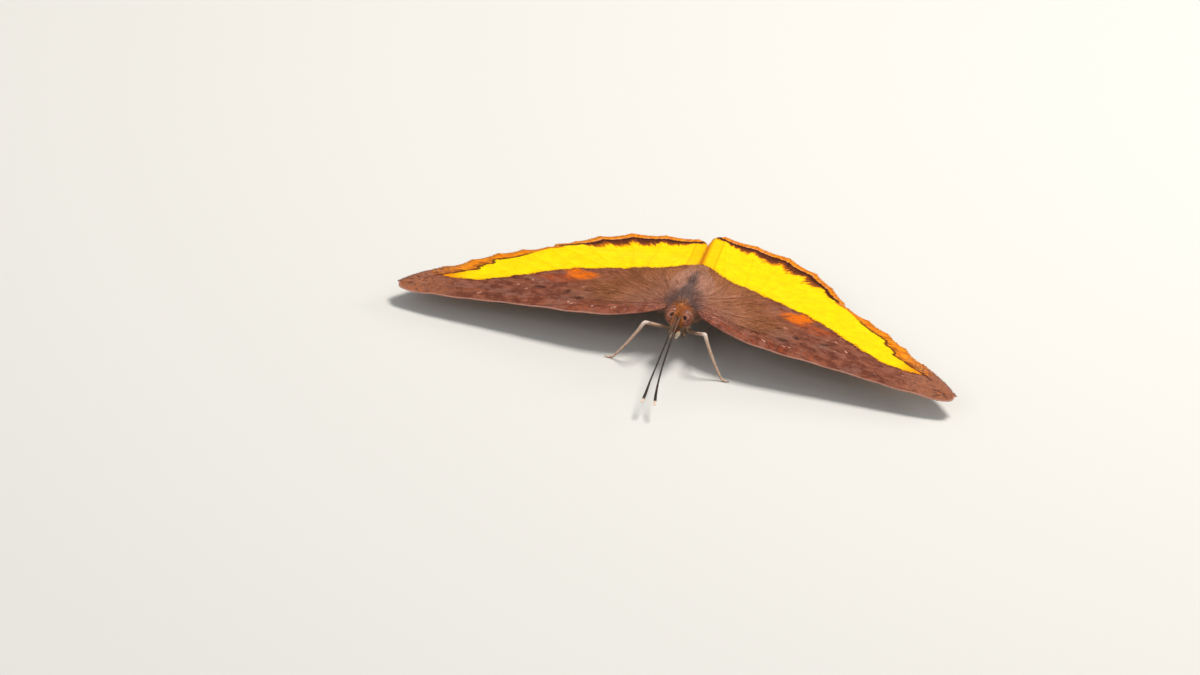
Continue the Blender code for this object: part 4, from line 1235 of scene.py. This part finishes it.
def make_eye(side, look):
    """A whole faceted eye, sunk into the head at its inner side."""
    sign = SIDES[side]
    rings, sides = 40, 48
    polar = np.pi * (np.arange(rings) + 0.5) / rings
    turn = 2 * np.pi * np.arange(sides) / sides
    x = np.cos(polar)[:, None] * np.ones(sides)[None]
    y = np.sin(polar)[:, None] * np.cos(turn)[None]
    z = np.sin(polar)[:, None] * np.sin(turn)[None]
    ball = np.stack([x, y, z], -1).reshape(-1, 3) * EYE_RADII
    spot = np.array(EYE_SPOT) / np.linalg.norm(np.array(EYE_SPOT) / EYE_RADII)
    away = ball - spot
    ring = np.linalg.norm(away, axis=1)
    slit = np.sqrt(np.maximum(ring**2 - 0.72 * (away @ EYE_SLIT) ** 2, 0))
    places = (ball + EYE_MIDDLE[side]) * (sign, 1, 1)
    faces = ring_faces(rings, sides)
    if sign < 0:
        faces = faces[:, ::-1]
    return make_piece(f"eye_{side}_ball", places, faces, [look],
                      {"place": places, "ring": ring, "slit": slit}, replaced=(f"eye_{side}",))


def make_antenna(side, look):
    """A feeler of many short joints, which thickens to a club and ends in a pale tip."""
    sign = SIDES[side]
    knots = through([(middle + sign * x, y, z, radius) for x, middle, y, z, radius in ANTENNA_PATH], 0.05)
    path, radii = knots[:, :3], knots[:, 3]
    length = run_length(path)
    joint = (length * FEELER_JOINTS) % 1.0
    radii = radii * (1 - JOINT_DEPTH * np.exp(-(((joint - 0.94) / 0.08) ** 2)))
    radii[-2:] *= (0.7, 0.3)
    places, faces, along = tube(path, radii)
    attributes = {"place": places, "along": along, "to_tip": length[-1] - along,
                  "upness": upness_on(places, path, radii)}
    return make_piece(f"antenna_{side}_feeler", places, faces, [look], attributes,
                      replaced=(f"antenna_{side}",))


def limb_path(path, side):
    sign, root_x = SIDES[side], path[0][0]
    return [(sign * (root_x + (x - root_x) * LEG_STRETCH[side]), y, z, r) for x, y, z, r in path]


def make_leg(kind, path, side, look, rng):
    """A leg with its jointed foot. Its spines, and a walking leg's claws, are pieces of their own."""
    walking = kind in KNEE_AT
    knots = limb_path(path, side)
    fine = through(knots, 0.06)
    line, radii = fine[:, :3], fine[:, 3].copy()
    length = run_length(line)

    def number_at(knot):
        """The number of the line's point nearest to one of the path's knots."""
        return np.linalg.norm(line - np.array(knots[knot][:3]), axis=1).argmin()

    def to_knee(points):
        if not walking:
            return np.full(len(points), FAR)
        return np.linalg.norm(points - np.array(knots[KNEE_AT[kind]][:3]), axis=1)

    foot = (np.arange(len(line)) >= number_at(-5 if walking else -2)).astype(float)
    joint = (length * FOOT_JOINTS) % 1.0
    radii *= 1 - JOINT_DEPTH * foot * np.exp(-(((joint - 0.9) / 0.07) ** 2))
    radii[-3:] *= (0.95, 0.8, 0.45)
    radii[:2] *= (0.6, 0.9)
    places, faces, along = tube(line, radii)
    places[:, 2] = np.maximum(places[:, 2], OFF_FLOOR)
    attributes = {"place": places, "along": along, "foot": np.repeat(foot, TUBE_SIDES),
                  "upness": upness_on(places, line, radii), "to_knee": to_knee(places)}
    make_piece(f"{kind}_{side}_limb", places, faces, [look], attributes,
               replaced=(f"{kind}_{side}",))

    # Spines on shin and foot, and broader lying scales above the knee
    start = number_at(KNEE_AT[kind]) if walking else 2
    pick = rng.integers(start, len(line) - 3, 90 if walking else 260)
    if walking:
        pick = np.concatenate([pick, rng.integers(3, start, 160)])
    count = len(pick)
    ahead = unit(np.gradient(line, axis=0))[pick]
    around = unit(np.cross(ahead, rng.normal(size=(count, 3))))
    roots = line[pick] + around * radii[pick][:, None]
    long = np.where(pick > start, 0.16, 0.20) if walking else np.full(count, 0.22)
    wide = np.where(pick > start, 0.03, 0.07) if walking else np.full(count, 0.05)
    built, tris, hair, share = tufts(roots, around, ahead, long * (0.7 + 0.6 * rng.random(count)), wide,
                                     0.25 + 0.35 * rng.random(count), 0.1, rng, rings=2)
    built[:, 2] = np.maximum(built[:, 2], OFF_FLOOR)
    attributes = {"place": roots[hair], "along": length[pick][hair], "foot": np.zeros(len(hair)),
                  "upness": around[:, 2][hair], "to_knee": to_knee(roots)[hair]}
    uv = np.stack([0.1 + 0.8 * length[pick] / length[-1], 0.1 + 0.8 * rng.random(count)], -1)
    make_piece(f"{kind}_{side}_spines", built, tris, [look], attributes,
               corner_uv=tuft_uv(tris, hair, share, uv))
    if walking:
        make_claws(kind, side, line, look)


def make_claws(kind, side, line, look):
    """Two small curved claws at the end of the foot."""
    tip, ahead = line[-1], unit(line[-1] - line[-4])
    aside = unit(np.cross(ahead, (0, 0, 1)))
    parts, tris, total = [], [], 0
    for sign in (-1, 1):
        points = [tip + ahead * on + aside * sign * out + (0, 0, up) for on, out, up in CLAW_PATH]
        path = through(points, 0.03)
        places, faces, _ = tube(path, np.linspace(*CLAW_RADII, len(path)), 8)
        parts.append(places)
        tris.append(faces + total)
        total += len(places)
    places = np.concatenate(parts)
    places[:, 2] = np.maximum(places[:, 2], OFF_FLOOR - 0.001)
    same = {"along": 0.0, "foot": 0.0, "upness": -1.0, "to_knee": FAR}
    attributes = {"place": places, **{label: np.full(total, value) for label, value in same.items()}}
    make_piece(f"{kind}_{side}_claws", places, np.concatenate(tris), [look], attributes)


def make_palp(side, look, rng):
    """A palp pointing forward under the face, thick with scales that point to its tip."""
    sign = SIDES[side]
    knots = through([(sign * x, y, z, radius) for x, y, z, radius in PALP_PATH], 0.06)
    path, radii = knots[:, :3], knots[:, 3] * 0.72
    places, faces, _ = tube(path, radii)
    make_piece(f"palp_{side}_core", places, faces, [look],
               {"place": places, "tone": np.full(len(places), 0.1)}, replaced=(f"palp_{side}",))
    count = PALP_SCALES
    pick = rng.integers(1, len(path) - 1, count)
    ahead = unit(np.gradient(path, axis=0))[pick]
    around = unit(np.cross(ahead, rng.normal(size=(count, 3))))
    roots = path[pick] + around * radii[pick][:, None]
    built, tris, hair, share = tufts(roots, around, ahead, 0.20 + 0.20 * rng.random(count),
                                     np.full(count, 0.040), 0.22 + 0.22 * rng.random(count), 0.1, rng)
    turn = np.stack([0.1 + 0.8 * pick / len(path), 0.5 + 0.4 * around[:, 2]], -1)
    make_piece(f"palp_{side}_scales", built, tris, [look],
               {"place": roots[hair], "tone": rng.random(count)[hair]},
               corner_uv=tuft_uv(tris, hair, share, turn))


def make_coil(look):
    """The tongue, rolled up like a watch spring under the head."""
    turns = np.linspace(0, 2 * np.pi * COIL_TURNS, 150)
    radius = COIL_RADIUS * (1 - 0.72 * turns / turns[-1])
    angle = turns + np.pi * 0.55
    spiral = np.stack([0.02 * np.sin(turns), COIL_MIDDLE[1] + radius * np.cos(angle),
                       COIL_MIDDLE[2] + radius * np.sin(angle)], -1)
    stem = through([(0, -0.42, 3.22), (0, -0.34, 3.0), tuple(spiral[0])], 0.05)
    path = np.concatenate([stem[:-1], spiral])
    places, faces, _ = tube(path, np.linspace(*TONGUE_RADII, len(path)), 14)
    make_piece("proboscis_coil", places, faces, [look], {"place": places},
               replaced=("proboscis",))


# Where the body's hairs grow and how they lie

def thorax_top(places, up):
    return between(places[:, 1], 0.9, 0.3, 6.9, 0.7) * smooth((up + 0.25) / 0.4)


def thorax_below(places, up):
    return between(places[:, 1], 0.9, 0.3, 6.9, 0.7) * smooth((0.1 - up) / 0.4)


def shoulders(places, up):
    return between(places[:, 1], 1.1, 0.5, 7.6, 1.0) * smooth(up / 0.25) * smooth((0.92 - up) / 0.2)


def abdomen_all(places, up):
    return smooth((places[:, 1] - 6.2) / 0.6) * (0.55 + 0.45 * smooth(up + 0.5))


def abdomen_top(places, up):
    return between(places[:, 1], 6.0, 0.5, 12.8, 1.0) * smooth((up - 0.05) / 0.3)


def head_all(places, up):
    beside_eye = smooth((np.abs(places[:, 0]) - 0.36) / 0.1) * smooth((0.3 - places[:, 1]) / 0.3)
    return smooth((1.15 - places[:, 1]) / 0.3) * (1 - beside_eye)


def collar(places, up):
    """Round the neck, behind the eyes."""
    return between(places[:, 1], 0.42, 0.2, 1.35, 0.3) * smooth((up + 0.6) / 0.3)


def under_the_eyes(places, up):
    off_middle = smooth((np.abs(places[:, 0]) - 0.12) / 0.1)
    return between(places[:, 1], -0.5, 0.3, 1.0, 0.3) * smooth((-0.25 - up) / 0.2) * off_middle


def directions(places, x, y, z):
    """One direction for each place, from arrays or single numbers. A positive x is away from the middle."""
    aside = np.sign(places[:, 0])
    return np.stack([aside * x, aside * 0 + y, aside * 0 + z], -1)


def lie_back(places, up):
    """Backwards along the body, spreading a little to each side."""
    out = smooth(np.abs(places[:, 0]) / 1.2)
    return directions(places, 0.45 * out, 1.0, -0.25 * out)


def lie_over_wings(places, up):
    """Outwards and back over the wings' bases, more and more straight back."""
    share = smooth((places[:, 1] - 1.2) / 5.5)
    return directions(places, 1.0 - 0.75 * share, 0.30 + 1.1 * share, -0.16 - 0.25 * (1 - up))


def lie_abdomen(places, up):
    return directions(places, 0.12, 1.0, -0.25)


def lie_below(places, up):
    return directions(places, 0.0, 0.6, -0.5)


def lie_head(places, up):
    """Outwards, except on the crown's middle line; forwards on the face and back at the neck."""
    ahead = smooth((0.2 - places[:, 1]) / 0.8)
    return directions(places, 0.9 * smooth(np.abs(places[:, 0]) / 0.25), 0.7 - 1.6 * ahead, 0.35 + 0.4 * up)


def lie_collar(places, up):
    """Straight out round the neck, a little forward."""
    return directions(places, 1.0, -0.45, 0.5 * up)


def lie_cheek(places, up):
    return directions(places, 0.8, -0.5, -0.5)


# Floor, light and camera

def set_the_stage():
    floor_look, _, shader = new_look("pale_floor", 0.75, Specular_IOR_Level=0.2)
    shader.inputs["Base Color"].default_value = screen(226, 224, 219)
    mesh = bpy.data.meshes.new("floor")
    corners = [(x * FLOOR_HALF, y * FLOOR_HALF, 0) for x, y in ((-1, -1), (1, -1), (1, 1), (-1, 1))]
    mesh.from_pydata(corners, [], [(0, 1, 2, 3)])
    mesh.materials.append(floor_look)
    floor = bpy.data.objects.new("floor", mesh)
    bpy.context.scene.collection.objects.link(floor)

    world = bpy.data.worlds.new("studio")
    bpy.context.scene.world = world
    world.use_nodes = True
    sky = world.node_tree.nodes["Background"]
    sky.inputs["Color"].default_value, sky.inputs["Strength"].default_value = SKY_COLOUR, SKY_STRENGTH

    middle = Vector((0, 0, 0.003))
    for name, place, size, power, colour in LIGHTS:
        light = bpy.data.lights.new(name, "AREA")
        light.shape, light.size, light.energy, light.color = "DISK", size, power, colour
        lamp = bpy.data.objects.new(name, light)
        lamp.location = place
        lamp.rotation_euler = (middle - lamp.location).to_track_quat("-Z", "Y").to_euler()
        bpy.context.scene.collection.objects.link(lamp)
    bpy.context.scene.view_settings.view_transform = "Standard"


def set_the_camera():
    """The photo's view: from the front left, rolled, with the head at its place in the picture."""
    e, a, r = CAMERA_RISE, CAMERA_TURN, CAMERA_ROLL
    level = Vector((math.cos(a), math.sin(a), 0))
    upright = Vector((-math.sin(a) * math.sin(e), math.cos(a) * math.sin(e), math.cos(e)))
    right = level * math.cos(r) + upright * math.sin(r)
    up = -level * math.sin(r) + upright * math.cos(r)
    back = right.cross(up)
    pixel = PHOTO_MM_PER_PIXEL * MM
    head = Vector((np.array([0, 0, HEAD_HEIGHT]) + TO_FRAME) * MM)
    aim = (head + right * ((PHOTO_SIZE[0] / 2 - HEAD_IN_PHOTO[0]) * pixel)
           - up * ((PHOTO_SIZE[1] / 2 - HEAD_IN_PHOTO[1]) * pixel))
    camera = bpy.data.cameras.new("camera")
    camera.lens, camera.sensor_width, camera.clip_start = LENS, SENSOR, 0.01
    distance = PHOTO_SIZE[0] * pixel * LENS / SENSOR
    stand = bpy.data.objects.new("camera", camera)
    placed = Matrix((right, up, back)).transposed().to_4x4()
    placed.translation = aim + back * distance
    stand.matrix_world = placed
    bpy.context.scene.collection.objects.link(stand)
    bpy.context.scene.camera = stand


def dress_the_butterfly():
    rng = np.random.default_rng(SEED)
    scale_rows, fine_scales, body_markings = scale_rows_group(), fine_scales_group(), body_markings_group()
    plans = {
        "forewing": WingPlan("forewing", FOREWING_COSTA, FOREWING_MARGIN, FOREWING_SCALLOPS, FOREWING_INNER,
                             FOREWING_BASE, FOREWING_VEINS, (1.3, 2.6)),
        "hindwing": WingPlan("hindwing", HINDWING_COSTA, HINDWING_MARGIN, HINDWING_SCALLOPS, HINDWING_INNER,
                             HINDWING_BASE, HINDWING_VEINS, (1.2, 5.0)),
    }
    fore = plans["forewing"]
    for kind, plan in plans.items():
        markings = wing_markings_group(kind, scale_rows)
        above = wing_finish(f"{kind}_above", markings)
        below = wing_finish(f"{kind}_below", wing_underside_group(kind, scale_rows))
        fringe, silk, pale_silk = (
            wing_finish(f"{kind}_{part}", markings, roughness, own) for part, roughness, own in (
                ("fringe", 0.7, ((206, 104, 16), (248, 170, 60), 0.7)),
                ("silk", 0.65, ((156, 94, 58), (244, 168, 112), 0.62)),
                ("pale_silk", 0.65, ((164, 108, 80), (246, 192, 160), 0.75)),
            ))
        for side in SIDES:
            make_wing(plan, side, fore, [above, below])
            make_fringe(plan, side, fore, fringe, rng)
            make_wing_hair(plan, side, fore, silk, rng, WING_HAIRS[kind])
            if kind == "hindwing":
                make_inner_hair(plan, side, fore, pale_silk, rng)

    skin = make_body(body_finish("body_skin", body_markings, fine_scales, coat=False))
    coat = body_finish("body_coat", body_markings, fine_scales, coat=True)
    for name, region, density, length, width, lie, rise, slot, free in (
        ("thorax_coat", thorax_top, 300, (0.45, 1.05), 0.026, lie_back, 0.26, "body_scales", False),
        ("shoulder_hair", shoulders, 260, (0.9, 2.1), 0.026, lie_over_wings, 0.35, "body_scales", True),
        ("thorax_under_coat", thorax_below, 180, (0.4, 0.9), 0.032, lie_below, 0.4, "body_scales", False),
        ("abdomen_coat", abdomen_all, 190, (0.28, 0.55), 0.030, lie_abdomen, 0.16, "body_scales", False),
        ("abdomen_hair", abdomen_top, 150, (0.7, 1.4), 0.026, lie_abdomen, 0.35, "body_scales", False),
        ("head_coat", head_all, 620, (0.20, 0.44), 0.024, lie_head, 0.70, "face_scales", True),
        ("collar_hair", collar, 420, (0.45, 1.05), 0.026, lie_collar, 0.5, "face_scales", True),
        ("cheek_scales", under_the_eyes, 500, (0.30, 0.62), 0.026, lie_cheek, 0.5, "face_scales", True),
    ):
        make_body_coat(name, skin, region, density, length, width, lie, rise, coat, rng, free)

    eyes, feelers = eye_finish(), antenna_finish()
    legs = leg_finish("leg_scales", fine_scales, (118, 76, 54), (246, 208, 178), (255, 242, 230))
    # The forelegs take a darker copy of the leg finish: their own brown-olive hair, darkened further by
    # painted shade where they sit under the head.
    shaded_front_legs = leg_finish("front_leg_scales_shaded", fine_scales, (96, 66, 44), (196, 160, 122), (206, 176, 140))
    palps = palp_finish()
    for side in SIDES:
        make_eye(side, eyes)
        make_antenna(side, feelers)
        make_palp(side, palps, rng)
        for kind, path, look in (("foreleg", FORELEG, shaded_front_legs), ("midleg", MIDLEG, legs),
                                 ("hindleg", HINDLEG, legs)):
            make_leg(kind, path, side, look, rng)
    make_coil(tongue_finish())


dress_the_butterfly()
set_the_stage()
set_the_camera()
